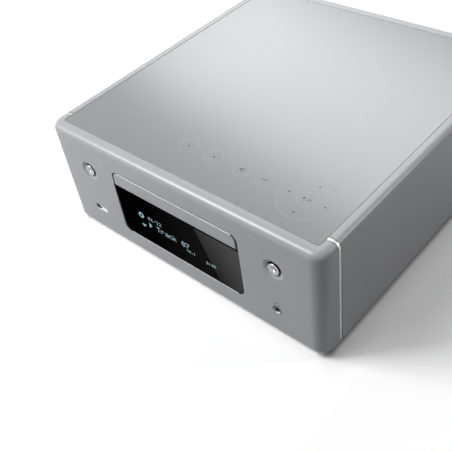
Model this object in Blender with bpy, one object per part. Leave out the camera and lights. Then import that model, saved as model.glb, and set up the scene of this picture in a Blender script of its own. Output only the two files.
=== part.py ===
"""Mini hi-fi system: an amplifier, receiver and disc player in one low cabinet.

Metres, +Z up, the front faces -Y. The origin is on the table, under the middle of the cabinet.
"""
import math

import bmesh
import bpy
from mathutils import Matrix, Vector

# ---- Driving dimensions -------------------------------------------------------------------
FIT = 0.0003  # gap left between two pieces that seat on each other

BODY_WIDTH = 0.280
BODY_DEPTH = 0.2865  # front face to the back edge of the cover
BODY_HEIGHT = 0.103
TERMINAL_REACH = 0.0185  # how far the speaker terminals stand out behind the cover
GROUND_CLEARANCE = 0.005
CORNER_RADIUS = 0.012  # front corners, seen from above
EDGE_RADIUS = 0.0055  # long edges of the cabinet
SIDE_WALL = 0.0025
FRONT_WALL = 0.003
DECK_WALL = 0.0024  # what is left of the top wall under the touch panel
BEZEL_DEPTH = 0.018
TRIM_WIDTH = 0.0026
COVER_RETURN = 0.0175  # how far the cover turns in under the cabinet

TOP_PANEL_SIDE = 0.010  # set in from each side of the cabinet
TOP_PANEL_FRONT = 0.0103  # set back from the front face
TOP_PANEL_REAR = 0.008  # set forward from the cover's back edge
TOP_PANEL_THICKNESS = 0.0021
TOP_PANEL_RADIUS = 0.0025
PANEL_LIP = 0.0002  # how far the panel lies below the cabinet's top

WINDOW_WIDTH = 0.1326
WINDOW_DROP = 0.0192  # from the cabinet's top to the window's upper edge
WINDOW_LIFT = 0.0198  # from the cabinet's bottom to the window's lower edge
WINDOW_RADIUS = 0.0065
DOOR_GAP = 0.0009
DOOR_HEIGHT = 0.0130
DOOR_THICKNESS = 0.0027
GLASS_RECESS = 0.0006
GLASS_GAP = 0.0008  # between the disc door and the display glass

BUTTON_SIDE = 0.0422  # from the cabinet's side to the buttons
BUTTON_DROP = 0.0333
BUTTON_RADIUS = 0.0051
BUTTON_CLEARANCE = 0.0008
BUTTON_TRAVEL = 0.0006
DISH_RADIUS = 0.0095
DISH_DEPTH = 0.0016

USB_SIDE = 0.0425
USB_LIFT = 0.0276
USB_WIDTH = 0.0131
USB_HEIGHT = 0.0052
USB_SHELL = 0.0004
JACK_SIDE = 0.042
JACK_LIFT = 0.0269
JACK_RADIUS = 0.0037
JACK_BORE = 0.0018

BOARD_THICKNESS = 0.0016
SHEET = 0.0012  # steel sheet of the pan, brackets and rear panel

DISC_RADIUS = 0.0605  # the recess for a full-size disc
SMALL_DISC_RADIUS = 0.0405
DISC_RECESS = 0.0026
SMALL_RECESS = 0.0012
TRAY_HALF_WIDTH = 0.0635
TRAY_THICKNESS = 0.0058
TRAY_FRONT_RIM = 0.0055
TRAY_TAIL = 0.100  # from the disc centre to the tray's back edge
TRAY_DROP = 0.0029  # from the top of the door to the top of the tray
SKIRT = 0.0017
RAIL = 0.0014
RAIL_REACH = 0.0026
LOADER_WALL = 0.0024
LOADER_FLOOR_DROP = 0.0245  # from the top of the tray to the loader's floor
TOOTH_MODULE = 0.00125
DRIVE_TEETH = 14
PINION_TEETH = 10
RACK_DEPTH = 0.0043
RACK_OFFSET = 0.050  # pitch line of the tray's rack, left of the middle

HUB_LIFT = 0.0078  # how far the turntable rises to take the disc
TURNTABLE_RADIUS = 0.0155
HUB_RADIUS = 0.0074
SPINDLE_MOTOR_RADIUS = 0.010
TRAVERSE_HALF_WIDTH = 0.036
TRAVERSE_THICKNESS = 0.0046
CAM_TRAVEL = 0.022
CAM_PIN_RADIUS = 0.0015
ROD_RADIUS = 0.0015
ROD_OFFSET = 0.021
SLED_MODULE = 0.0008
SLED_TEETH = 12

FOOT_RADIUS = 0.012
FOOT_SIDE = 0.036
TERMINAL_RADIUS = 0.0075
TERMINAL_SPACING_X = 0.024
TERMINAL_SPACING_Z = 0.021

# ---- Places that follow from them -----------------------------------------------------------
FRONT = -(BODY_DEPTH + TERMINAL_REACH) / 2
COVER_BACK = FRONT + BODY_DEPTH
REARMOST = COVER_BACK + TERMINAL_REACH
HALF = BODY_WIDTH / 2
BOTTOM = GROUND_CLEARANCE
TOP = BOTTOM + BODY_HEIGHT
RECESS_FLOOR = TOP - PANEL_LIP - TOP_PANEL_THICKNESS - FIT
CEILING = RECESS_FLOOR - DECK_WALL
INSIDE = HALF - SIDE_WALL
FLOOR = BOTTOM + SIDE_WALL
INNER_RADIUS = EDGE_RADIUS - SIDE_WALL
FRONT_INSIDE = FRONT + FRONT_WALL
BEZEL_BACK = FRONT + BEZEL_DEPTH
TRIM_FRONT = BEZEL_BACK + FIT
TRIM_BACK = TRIM_FRONT + TRIM_WIDTH
COVER_FRONT = TRIM_BACK + FIT
PANEL_HALF = HALF - TOP_PANEL_SIDE
PANEL_FRONT = FRONT + TOP_PANEL_FRONT
PANEL_BACK = COVER_BACK - TOP_PANEL_REAR

WINDOW_HALF = WINDOW_WIDTH / 2
WINDOW_BOTTOM = BOTTOM + WINDOW_LIFT
WINDOW_TOP = TOP - WINDOW_DROP
DOOR_TOP = WINDOW_TOP - DOOR_GAP
DOOR_BOTTOM = DOOR_TOP - DOOR_HEIGHT
DOOR_HALF = WINDOW_HALF - DOOR_GAP
DOOR_BACK = FRONT + DOOR_THICKNESS
GLASS_TOP = DOOR_BOTTOM - GLASS_GAP
BUTTON_X = HALF - BUTTON_SIDE
BUTTON_Z = TOP - BUTTON_DROP
USB_OFFSET = HALF - USB_SIDE
JACK_OFFSET = HALF - JACK_SIDE
USB_Z = BOTTOM + USB_LIFT
JACK_Z = BOTTOM + JACK_LIFT

TRAY_TOP = DOOR_TOP - TRAY_DROP
TRAY_UNDERSIDE = TRAY_TOP - TRAY_THICKNESS
TRAY_FRONT = DOOR_BACK + FIT
DISC_Y = TRAY_FRONT + TRAY_FRONT_RIM + DISC_RADIUS
TRAY_BACK = DISC_Y + TRAY_TAIL
RACK_BOTTOM = TRAY_UNDERSIDE - RACK_DEPTH

FRAME_FRONT = FRONT_INSIDE + FIT
FRAME_BACK = FRAME_FRONT + 0.003
FRAME_HALF = WINDOW_HALF + 0.0051
SLOT_BOTTOM = RACK_BOTTOM - FIT
SLOT_TOP = TRAY_TOP + 2 * FIT
DISPLAY_HALF = 0.0497
DISPLAY_BOTTOM = WINDOW_BOTTOM + 0.0073
DISPLAY_TOP = SLOT_BOTTOM - 0.010
DISPLAY_BACK = FRAME_FRONT + 0.006
FRONT_BOARD_Y = DISPLAY_BACK + FIT
FRONT_BOARD_BACK = FRONT_BOARD_Y + BOARD_THICKNESS

LOADER_FLOOR = TRAY_TOP - LOADER_FLOOR_DROP
LOADER_BASE = LOADER_FLOOR - 0.0025
LOADER_INSIDE = TRAY_HALF_WIDTH + 2 * FIT
LOADER_OUTSIDE = LOADER_INSIDE + LOADER_WALL
LOADER_TOP = TRAY_TOP + 0.005
LOADER_FRONT = FRONT_BOARD_BACK + 0.0018
LOADER_BACK = TRAY_BACK + 0.0135

DRIVE_RADIUS = DRIVE_TEETH * TOOTH_MODULE / 2
PINION_RADIUS = PINION_TEETH * TOOTH_MODULE / 2
DRIVE_X = -RACK_OFFSET + DRIVE_RADIUS
DRIVE_Y = LOADER_FRONT + 0.018
BELT_X = DRIVE_X + DRIVE_RADIUS + PINION_RADIUS
MOTOR_X = BELT_X + 0.040
PULLEY_GROOVE = 0.0092
MOTOR_GROOVE = 0.0026
BELT_THICKNESS = 0.0014
BELT_Z = LOADER_FLOOR + 0.003
AXLE_RADIUS = 0.0018

TURNTABLE_FACE = TRAY_TOP - DISC_RECESS + 0.0015
TRAVERSE_TOP = TRAY_UNDERSIDE - 2 * FIT
TRAVERSE_BOTTOM = TRAVERSE_TOP - TRAVERSE_THICKNESS
TRAVERSE_FRONT = DISC_Y - 0.020
TRAVERSE_BACK = TRAY_BACK - 0.0025
PIVOT_Y = TRAVERSE_BACK - 0.004
PIVOT_Z = (TRAVERSE_TOP + TRAVERSE_BOTTOM) / 2
TILT = math.asin(HUB_LIFT / (PIVOT_Y - DISC_Y))  # the traverse's slope when it is down
CAM_FRONT = TRAVERSE_FRONT - 0.0035
CAM_BACK = CAM_FRONT + 0.0026
CAM_PIN_X = 0.008
CAM_PIN_Z = TRAVERSE_BOTTOM + 0.0009
SLED_X = 0.0306
PICKUP_Y = DISC_Y + 0.023

PAN_BOTTOM = FLOOR + FIT
PAN_TOP = PAN_BOTTOM + SHEET
PAN_BACK = COVER_BACK - 0.0048
REAR_FRONT = PAN_BACK + FIT
REAR_BACK = REAR_FRONT + 0.0015
BOARD_Z = PAN_TOP + 0.005
BOARD_TOP = BOARD_Z + BOARD_THICKNESS
BOARD_BACK = PAN_BACK - 0.003
BRACKET_X = LOADER_OUTSIDE + 0.0125
BRACKET_TOP = LOADER_BASE - FIT
BRACKET_FOOT = 0.013


# ---- Outlines: lists of points in the plane that a prism is drawn from ----------------------
def arc(cx, cy, radius, start, end, steps):
    """Points on an arc; the angles are in degrees."""
    turns = [math.radians(start + (end - start) * n / steps) for n in range(steps + 1)]
    return [(cx + radius * math.cos(a), cy + radius * math.sin(a)) for a in turns]


def circle(cx, cy, radius, steps=24):
    return arc(cx, cy, radius, 0, 360 - 360 / steps, steps - 1)


def rectangle(x0, x1, y0, y1):
    return [(x0, y0), (x1, y0), (x1, y1), (x0, y1)]


def rounded(x0, x1, y0, y1, radius, steps=4):
    """A rectangle whose four corners are rounded."""
    return (arc(x1 - radius, y0 + radius, radius, -90, 0, steps)
            + arc(x1 - radius, y1 - radius, radius, 0, 90, steps)
            + arc(x0 + radius, y1 - radius, radius, 90, 180, steps)
            + arc(x0 + radius, y0 + radius, radius, 180, 270, steps))


def capsule(start, end, radius, steps=6):
    """The outline swept by a circle that moves from start to end."""
    turn = math.degrees(math.atan2(end[1] - start[1], end[0] - start[0]))
    return (arc(end[0], end[1], radius, turn - 90, turn + 90, steps)
            + arc(start[0], start[1], radius, turn + 90, turn + 270, steps))


def involute(radius, base):
    """The angle by which an involute has turned at this radius."""
    ratio = max(radius / base, 1)
    pressure = math.acos(1 / ratio)
    return math.tan(pressure) - pressure


PRESSURE_ANGLE = math.radians(20)
ADDENDUM = 0.85
DEDENDUM = 1.15
BACKLASH = 0.2  # of the module


def gear(cx, cy, teeth, module, phase):
    """A spur gear with involute flanks and one tooth centred at the angle phase."""
    pitch = teeth * module / 2
    base = pitch * math.cos(PRESSURE_ANGLE)
    radii = [pitch + module * share for share in (-DEDENDUM, 0, ADDENDUM)]
    half = math.pi / (2 * teeth) - BACKLASH * module / (2 * pitch) + involute(pitch, base)
    points = []
    for tooth in range(teeth):
        middle = phase + 2 * math.pi * tooth / teeth
        rising = [(r, middle - half + involute(r, base)) for r in radii]
        falling = [(r, middle + half - involute(r, base)) for r in reversed(radii)]
        points += [(cx + r * math.cos(a), cy + r * math.sin(a)) for r, a in rising + falling]
    return points


def rack(pitch_line, back, first, last, centre, module):
    """A rack whose teeth point to +x from a bar that ends at back; one gap is centred at centre."""
    spacing = math.pi * module
    slope = math.tan(PRESSURE_ANGLE)
    half = spacing / 4 - BACKLASH * module / 2
    tip, root = ADDENDUM * module, DEDENDUM * module
    points = [(back, last), (back, first)]
    index = math.ceil((first - centre) / spacing)
    middle = centre + (index + 0.5) * spacing
    while middle + spacing / 2 <= last:
        points += [(pitch_line - root, middle - half - root * slope),
                   (pitch_line + tip, middle - half + tip * slope),
                   (pitch_line + tip, middle + half - tip * slope),
                   (pitch_line - root, middle + half + root * slope)]
        middle += spacing
    return [points[0], points[1], (pitch_line - root, first)] + points[2:] + [
        (pitch_line - root, last)]


# ---- Solids ------------------------------------------------------------------------------------
def spot(axis, a, b, along):
    """A point of an outline, (a, b), put at this distance along the axis."""
    return {"X": (along, a, b), "Y": (a, along, b), "Z": (a, b, along)}[axis]


def prism(bm, outline, axis, low, high):
    """Adds an outline drawn out along an axis: (y, z), (x, z) or (x, y) for X, Y or Z."""
    loops = [[bm.verts.new(spot(axis, a, b, along)) for a, b in outline] for along in (low, high)]
    count = len(outline)
    for n in range(count):
        m = (n + 1) % count
        bm.faces.new((loops[0][n], loops[0][m], loops[1][m], loops[1][n]))
    bm.faces.new(loops[0])
    bm.faces.new(loops[1])


def box(bm, x0, x1, y0, y1, z0, z1):
    prism(bm, rectangle(x0, x1, y0, y1), "Z", z0, z1)


def rod(bm, axis, a, b, radius, low, high, steps=16):
    prism(bm, circle(a, b, radius, steps), axis, low, high)


def ring(bm, outer, inner, axis, low, high):
    """Adds an outline with a hole of as many points, drawn out along an axis."""
    count = len(outer)
    loops = [[bm.verts.new(spot(axis, a, b, along)) for a, b in line]
             for line, along in ((outer, low), (outer, high), (inner, high), (inner, low))]
    for first, second in zip(loops, loops[1:] + loops[:1]):
        for n in range(count):
            m = (n + 1) % count
            bm.faces.new((first[n], first[m], second[m], second[n]))


def lathe(bm, axis, a, b, profile, steps=24):
    """Adds a turned body: a closed profile of (radius, distance along the axis) points."""
    turns = []
    for n in range(steps):
        angle = 2 * math.pi * n / steps
        turns.append([bm.verts.new(spot(axis, a + r * math.cos(angle), b + r * math.sin(angle), h))
                      if r > 0 or n == 0 else None for r, h in profile])
    for turn in turns[1:]:
        for k, (r, _) in enumerate(profile):
            if r == 0:
                turn[k] = turns[0][k]
    count = len(profile)
    for n in range(steps):
        one, two = turns[n], turns[(n + 1) % steps]
        for k in range(count):
            m = (k + 1) % count
            corners = []
            for vert in (one[k], one[m], two[m], two[k]):
                if vert not in corners:
                    corners.append(vert)
            if len(corners) > 2:
                bm.faces.new(corners)


def plan(inset, back, radius, steps):
    """The cabinet's front half seen from above, drawn in by inset."""
    half = HALF - inset
    front = FRONT + inset
    return ([(-half, back)] + arc(-half + radius, front + radius, radius, 180, 270, steps)
            + arc(half - radius, front + radius, radius, 270, 360, steps) + [(half, back)])


def front_form(bm, inset, low, high, back, corner, edge, steps=5, edge_steps=3):
    """Adds the cabinet's rounded front end, with a flat back."""
    levels = []
    for n in range(edge_steps + 1):
        angle = math.pi / 2 * n / edge_steps
        levels.append((edge * (1 - math.sin(angle)), edge * (1 - math.cos(angle))))
    stack = [(d, low + h) for d, h in levels] + [(d, high - h) for d, h in reversed(levels)]
    loops = [[bm.verts.new((x, y, z)) for x, y in plan(inset + d, back, corner - d, steps)]
             for d, z in stack]
    count = len(loops[0])
    for lower, upper in zip(loops, loops[1:]):
        for n in range(count):
            m = (n + 1) % count
            bm.faces.new((lower[n], lower[m], upper[m], upper[n]))
    bm.faces.new(loops[0])
    bm.faces.new(loops[-1])


# ---- Materials and objects ------------------------------------------------------------------------
def material(name, colour, roughness, metallic=0.0):
    made = bpy.data.materials.new(name)
    made.use_nodes = True
    shader = made.node_tree.nodes["Principled BSDF"]
    shader.inputs["Base Color"].default_value = (*colour, 1.0)
    shader.inputs["Roughness"].default_value = roughness
    shader.inputs["Metallic"].default_value = metallic
    return made


def put(name, bm, skin=None, origin=(0, 0, 0), parent=None):
    """Makes an object of the shape drawn so far, with its origin on its joint's axis."""
    bmesh.ops.recalc_face_normals(bm, faces=bm.faces)
    mesh = bpy.data.meshes.new(name)
    bm.to_mesh(mesh)
    bm.free()
    mesh.transform(Matrix.Translation(-Vector(origin)))
    obj = bpy.data.objects.new(name, mesh)
    obj.location = origin
    bpy.context.collection.objects.link(obj)
    if parent:
        obj.parent = parent
        obj.matrix_parent_inverse = parent_level(parent)
    if skin:
        mesh.materials.append(skin)
        mesh.shade_smooth()
        mesh.set_sharp_from_angle(angle=math.radians(35))
    return obj


def parent_level(parent):
    """Undoes a parent's place, so that its children are drawn where they are when it is level."""
    return Matrix.Translation(-parent.location)


def helper(obj, bm, operation):
    """Cuts a shape out of an object, or joins it on."""
    tool = put(obj.name + "_" + operation.lower() + str(len(obj.modifiers)), bm, parent=obj.parent)
    tool.hide_render = True
    tool.display_type = "WIRE"
    change = obj.modifiers.new(tool.name, "BOOLEAN")
    change.operation = operation
    change.object = tool
    return obj


def cut(obj, bm):
    return helper(obj, bm, "DIFFERENCE")


def join(obj, bm):
    return helper(obj, bm, "UNION")


# ---- Cabinet ---------------------------------------------------------------------------------------
def panel_recess():
    """The shallow seat that the touch panel lies in."""
    seat = bmesh.new()
    outline = rounded(-PANEL_HALF - FIT, PANEL_HALF + FIT, PANEL_FRONT - FIT, PANEL_BACK + FIT,
                      TOP_PANEL_RADIUS + FIT)
    prism(seat, outline, "Z", RECESS_FLOOR, TOP + 0.002)
    return seat


def touch_opening(bm):
    box(bm, TOUCH_LEFT, TOUCH_RIGHT, TOUCH_FRONT, TOUCH_BACK, CEILING - 0.001, TOP)


TOUCH_WIDTH = 0.152
TOUCH_RIGHT = PANEL_HALF - 0.008
TOUCH_LEFT = TOUCH_RIGHT - TOUCH_WIDTH
TOUCH_FRONT, TOUCH_BACK = COVER_FRONT + 0.003, COVER_FRONT + 0.046
BOSS_RADIUS = 0.003
BOSS_PLACES = [(side * x, z) for side in (-1, 1)
               for x, z in ((HALF - 0.026, BOTTOM + 0.019), (HALF - 0.026, TOP - 0.030),
                            (WINDOW_HALF + 0.0081, BOTTOM + 0.019))]


def front_bezel(skin):
    """The moulded front: one wall with the window, dished button seats and socket openings."""
    bm = bmesh.new()
    front_form(bm, 0, BOTTOM, TOP, BEZEL_BACK, CORNER_RADIUS, EDGE_RADIUS)
    bezel = put("front_bezel", bm, skin)
    hollow = bmesh.new()
    corner = CORNER_RADIUS - SIDE_WALL
    half = INSIDE
    front = FRONT_INSIDE
    outline = ([(-half, BEZEL_BACK + 0.005)] + arc(-half + corner, front + corner, corner, 180, 270, 3)
               + arc(half - corner, front + corner, corner, 270, 360, 3)
               + [(half, BEZEL_BACK + 0.005)])
    prism(hollow, outline, "Z", FLOOR, CEILING)
    cut(bezel, hollow)
    bosses = bmesh.new()
    for x, z in BOSS_PLACES:
        rod(bosses, "Y", x, z, BOSS_RADIUS, FRONT_INSIDE - 0.001, FRONT_BOARD_Y - FIT, 8)
    join(bezel, bosses)
    openings = bmesh.new()
    through = FRONT_INSIDE + 0.002
    prism(openings, rounded(-WINDOW_HALF, WINDOW_HALF, WINDOW_BOTTOM, WINDOW_TOP, WINDOW_RADIUS, 4),
          "Y", FRONT - 0.001, through)
    for side in (-1, 1):
        lathe(openings, "Y", side * BUTTON_X, BUTTON_Z, dish_profile(through), 16)
    half_width, half_height = USB_WIDTH / 2 + FIT, USB_HEIGHT / 2 + FIT
    prism(openings, rounded(-USB_OFFSET - half_width, -USB_OFFSET + half_width,
                            USB_Z - half_height, USB_Z + half_height, 0.0008, 2),
          "Y", FRONT - 0.001, through)
    rod(openings, "Y", JACK_OFFSET, JACK_Z, JACK_RADIUS + FIT, FRONT - 0.001, through, 16)
    cut(bezel, openings)
    cut(bezel, panel_recess())
    return bezel


def dish_profile(through):
    """A shallow bowl that narrows to the button's hole."""
    hole = BUTTON_RADIUS + BUTTON_CLEARANCE
    profile = [(0, FRONT - 0.001), (DISH_RADIUS, FRONT - 0.001), (DISH_RADIUS, FRONT)]
    for n in range(1, 4):
        share = n / 3
        profile.append((DISH_RADIUS - (DISH_RADIUS - hole) * share,
                        FRONT + DISH_DEPTH * (1 - math.cos(share * math.pi)) / 2))
    return profile + [(hole, through), (0, through)]


def trim_band(skin):
    """The bright band between the bezel and the cover."""
    bm = bmesh.new()
    outer = rounded(-HALF, HALF, BOTTOM, TOP, EDGE_RADIUS, 5)
    inner = rounded(-INSIDE, INSIDE, FLOOR, CEILING, INNER_RADIUS, 5)
    ring(bm, outer, inner, "Y", TRIM_FRONT, TRIM_BACK)
    return cut(put("trim_band", bm, skin), panel_recess())


def cabinet_cover(skin):
    """A wrap of top and sides that turns in under the cabinet on both sides."""
    bm = bmesh.new()
    lip = HALF - COVER_RETURN
    outer = (arc(-HALF + EDGE_RADIUS, BOTTOM + EDGE_RADIUS, EDGE_RADIUS, 270, 180, 5)
             + arc(-HALF + EDGE_RADIUS, TOP - EDGE_RADIUS, EDGE_RADIUS, 180, 90, 5)
             + arc(HALF - EDGE_RADIUS, TOP - EDGE_RADIUS, EDGE_RADIUS, 90, 0, 5)
             + arc(HALF - EDGE_RADIUS, BOTTOM + EDGE_RADIUS, EDGE_RADIUS, 0, -90, 5))
    inner = (arc(INSIDE - INNER_RADIUS, FLOOR + INNER_RADIUS, INNER_RADIUS, -90, 0, 4)
             + arc(INSIDE - INNER_RADIUS, CEILING - INNER_RADIUS, INNER_RADIUS, 0, 90, 4)
             + arc(-INSIDE + INNER_RADIUS, CEILING - INNER_RADIUS, INNER_RADIUS, 90, 180, 4)
             + arc(-INSIDE + INNER_RADIUS, FLOOR + INNER_RADIUS, INNER_RADIUS, 180, 270, 4))
    outline = [(-lip, BOTTOM)] + outer + [(lip, BOTTOM), (lip, FLOOR)] + inner + [(-lip, FLOOR)]
    prism(bm, outline, "Y", COVER_FRONT, COVER_BACK)
    cover = put("cabinet_cover", bm, skin)
    cut(cover, panel_recess())
    opening = bmesh.new()
    touch_opening(opening)
    return cut(cover, opening)


def top_panel(skin):
    bm = bmesh.new()
    outline = rounded(-PANEL_HALF, PANEL_HALF, PANEL_FRONT, PANEL_BACK, TOP_PANEL_RADIUS)
    prism(bm, outline, "Z", RECESS_FLOOR + FIT, TOP - PANEL_LIP)
    return put("top_panel", bm, skin)


def touch_board(skin):
    """The sensing board, held against the underside of the panel in the cover's opening."""
    bm = bmesh.new()
    high = RECESS_FLOOR
    box(bm, TOUCH_LEFT + FIT, TOUCH_RIGHT - FIT, TOUCH_FRONT + FIT, TOUCH_BACK - FIT,
        high - BOARD_THICKNESS, high)
    board = put("touch_board", bm, skin)
    plug = bmesh.new()
    box(plug, TOUCH_RIGHT - 0.022, TOUCH_RIGHT - 0.006, TOUCH_BACK - 0.010, TOUCH_BACK - 0.005,
        high - BOARD_THICKNESS - 0.004, high - BOARD_THICKNESS + 0.0005)
    return join(board, plug)


SCREW_RADIUS = 0.0012
PAN_HALF = INSIDE - INNER_RADIUS
PAN_FRONT = COVER_FRONT + 0.001
PAN_LIP = 0.008
PAN_VENTS = 6  # in each of the two rows
REAR_VENTS = 15
REAR_VENT_SPAN = 2 * (INSIDE - 0.0255)
VENT_RADIUS = 0.0016


def board_posts():
    """Where the pan's pillars stand, under the corners of the three boards."""
    places = []
    for x0, x1, y0, y1 in BOARDS.values():
        places += [(x, y) for x in (x0 + 0.004, x1 - 0.004) for y in (y0 + 0.004, y1 - 0.004)]
    return places


BOARD_GAP = 0.004
BOARD_DEPTH = 0.092
BOARD_EDGE = PAN_HALF - SHEET - 0.0023
POWER_WIDTH = 0.035
POWER_RIGHT = -BOARD_EDGE + POWER_WIDTH
AMPLIFIER_LEFT = POWER_RIGHT + BOARD_GAP
AMPLIFIER_WIDTH = 0.096
MAIN_LEFT = AMPLIFIER_LEFT + AMPLIFIER_WIDTH + BOARD_GAP
BOARDS = {  # left, right, front and back of each board
    "power_board": (-BOARD_EDGE, POWER_RIGHT, FRONT + 0.0465, BOARD_BACK),
    "amplifier_board": (AMPLIFIER_LEFT, AMPLIFIER_LEFT + AMPLIFIER_WIDTH, BOARD_BACK - BOARD_DEPTH,
                        BOARD_BACK),
    "main_board": (MAIN_LEFT, BOARD_EDGE, BOARD_BACK - BOARD_DEPTH, BOARD_BACK),
}


def bottom_pan(skin):
    """The folded steel pan that carries the boards, the loader's brackets and the feet."""
    bm = bmesh.new()
    outline = [(-PAN_HALF, PAN_BOTTOM + PAN_LIP), (-PAN_HALF, PAN_BOTTOM), (PAN_HALF, PAN_BOTTOM),
               (PAN_HALF, PAN_BOTTOM + PAN_LIP), (PAN_HALF - SHEET, PAN_BOTTOM + PAN_LIP),
               (PAN_HALF - SHEET, PAN_TOP), (-PAN_HALF + SHEET, PAN_TOP),
               (-PAN_HALF + SHEET, PAN_BOTTOM + PAN_LIP)]
    prism(bm, outline, "Y", PAN_FRONT, PAN_BACK)
    pan = put("bottom_pan", bm, skin)
    pillars = bmesh.new()
    for x, y in board_posts():
        rod(pillars, "Z", x, y, 0.0025, PAN_TOP - 0.0005, BOARD_Z - FIT, 6)
    join(pan, pillars)
    holes = bmesh.new()
    for x in (-0.105, 0.070):
        for n in range(PAN_VENTS):
            place = FRONT + 0.075 + n * 0.012
            prism(holes, capsule((x, place), (x + 0.035, place), VENT_RADIUS, 2), "Z",
                  PAN_BOTTOM - 0.001, PAN_TOP + 0.001)
    for x, y in foot_places():
        rod(holes, "Z", x, y, SCREW_RADIUS + FIT, PAN_BOTTOM - 0.001, PAN_TOP + 0.001, 6)
    return cut(pan, holes)


def foot_places():
    return [(side * (HALF - FOOT_SIDE), y) for side in (-1, 1)
            for y in (COVER_FRONT + FOOT_RADIUS + 0.004, COVER_BACK - FOOT_RADIUS - 0.010)]


def foot(name, x, y, skin):
    """A turned foot with a hollow for its screw, and a spigot that plugs into the pan."""
    high = PAN_BOTTOM - FIT
    profile = [(0.004, 0), (FOOT_RADIUS - 0.0015, 0), (FOOT_RADIUS, 0.0015),
               (FOOT_RADIUS, high - 0.0006), (FOOT_RADIUS - 0.0006, high), (SCREW_RADIUS, high),
               (SCREW_RADIUS, PAN_TOP + 0.0015), (0, PAN_TOP + 0.0015), (0, 0.002), (0.004, 0.002)]
    bm = bmesh.new()
    lathe(bm, "Z", x, y, profile, 14)
    return put(name, bm, skin, origin=(x, y, 0))


def rear_panel(skin):
    """The steel back with its vents and the cut-outs for every socket."""
    bm = bmesh.new()
    prism(bm, rounded(-INSIDE + FIT, INSIDE - FIT, FLOOR + FIT, CEILING - FIT, INNER_RADIUS), "Y",
          REAR_FRONT, REAR_BACK)
    panel = put("rear_panel", bm, skin)
    holes = bmesh.new()
    low, high = REAR_FRONT - 0.001, REAR_BACK + 0.001
    pitch = REAR_VENT_SPAN / (REAR_VENTS - 1)
    for n in range(REAR_VENTS):
        x = -REAR_VENT_SPAN / 2 + n * pitch
        prism(holes, capsule((x, CEILING - 0.026), (x, CEILING - 0.014), VENT_RADIUS, 2), "Y", low, high)
    for x0, x1, z0, z1 in (INLET, TERMINALS, OPTICAL, NETWORK):
        prism(holes, rectangle(x0 - FIT, x1 + FIT, z0 - FIT, z1 + FIT), "Y", low, high)
    for x, z in LINE_JACKS:
        rod(holes, "Y", x, z, LINE_JACK_RADIUS + FIT, low, high, 10)
    rod(holes, "Y", AERIAL_X, AERIAL_Z, AERIAL_RADIUS + FIT, low, high, 12)
    return cut(panel, holes)


def centred(x, z, width, height):
    return (x - width / 2, x + width / 2, z - height / 2, z + height / 2)


TERMINAL_X = AMPLIFIER_LEFT + 0.032
TERMINAL_Z = 0.0465
INLET = centred((POWER_RIGHT - BOARD_EDGE) / 2, BOARD_TOP + 0.0170, 0.028, 0.020)
TERMINALS = centred(TERMINAL_X, TERMINAL_Z, 0.040, 0.036)
OPTICAL = centred(MAIN_LEFT + 0.026, BOARD_TOP + 0.0260, 0.0100, 0.0100)
NETWORK = centred(MAIN_LEFT + 0.052, BOARD_TOP + 0.0080, 0.0160, 0.0136)
LINE_JACK_RADIUS = 0.0042
LINE_JACKS = [(MAIN_LEFT + x, BOARD_TOP + z) for x, z in (
    (-0.032, 0.012), (-0.032, 0.028), (-0.014, 0.012), (-0.014, 0.028), (0.004, 0.028))]
AERIAL_X, AERIAL_Z, AERIAL_RADIUS = BOARD_EDGE - 0.019, BOARD_TOP + 0.0290, 0.0047


# ---- Front: window, display, buttons and sockets ------------------------------------------------
def display_glass(skin):
    """The dark glass that fills the window below the disc door."""
    bm = bmesh.new()
    half = WINDOW_HALF - FIT
    low = WINDOW_BOTTOM + FIT
    corner = WINDOW_RADIUS - FIT
    outline = ([(-half, GLASS_TOP)] + arc(-half + corner, low + corner, corner, 180, 270, 6)
               + arc(half - corner, low + corner, corner, 270, 360, 6) + [(half, GLASS_TOP)])
    prism(bm, outline, "Y", FRONT + GLASS_RECESS, FRONT_INSIDE)
    return put("display_glass", bm, skin)


def window_frame(skin):
    """The dark frame behind the window, open for the display and for the tray."""
    bm = bmesh.new()
    prism(bm, rounded(-FRAME_HALF, FRAME_HALF, WINDOW_BOTTOM - 0.006, WINDOW_TOP + 0.005, 0.003, 2),
          "Y", FRAME_FRONT, FRAME_BACK)
    frame = put("window_frame", bm, skin)
    holes = bmesh.new()
    prism(holes, rectangle(-DISPLAY_HALF - FIT, DISPLAY_HALF + FIT, DISPLAY_BOTTOM - FIT,
                           DISPLAY_TOP + FIT), "Y", FRAME_FRONT - 0.001, FRAME_BACK + 0.001)
    prism(holes, rectangle(-LOADER_INSIDE - FIT, LOADER_INSIDE + FIT, SLOT_BOTTOM, SLOT_TOP), "Y",
          FRAME_FRONT - 0.001, FRAME_BACK + 0.001)
    return cut(frame, holes)


def display_module(skin):
    """The lit display: a thin glass in a folded frame that stands on the front board."""
    bm = bmesh.new()
    box(bm, -DISPLAY_HALF, DISPLAY_HALF, FRAME_FRONT + 0.0004, DISPLAY_BACK, DISPLAY_BOTTOM,
        DISPLAY_TOP)
    module = put("display_module", bm, skin)
    recess = bmesh.new()
    box(recess, -DISPLAY_HALF + 0.002, DISPLAY_HALF - 0.002, FRAME_FRONT - 0.001,
        FRAME_FRONT + 0.0009, DISPLAY_BOTTOM + 0.002, DISPLAY_TOP - 0.002)
    return cut(module, recess)


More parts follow.
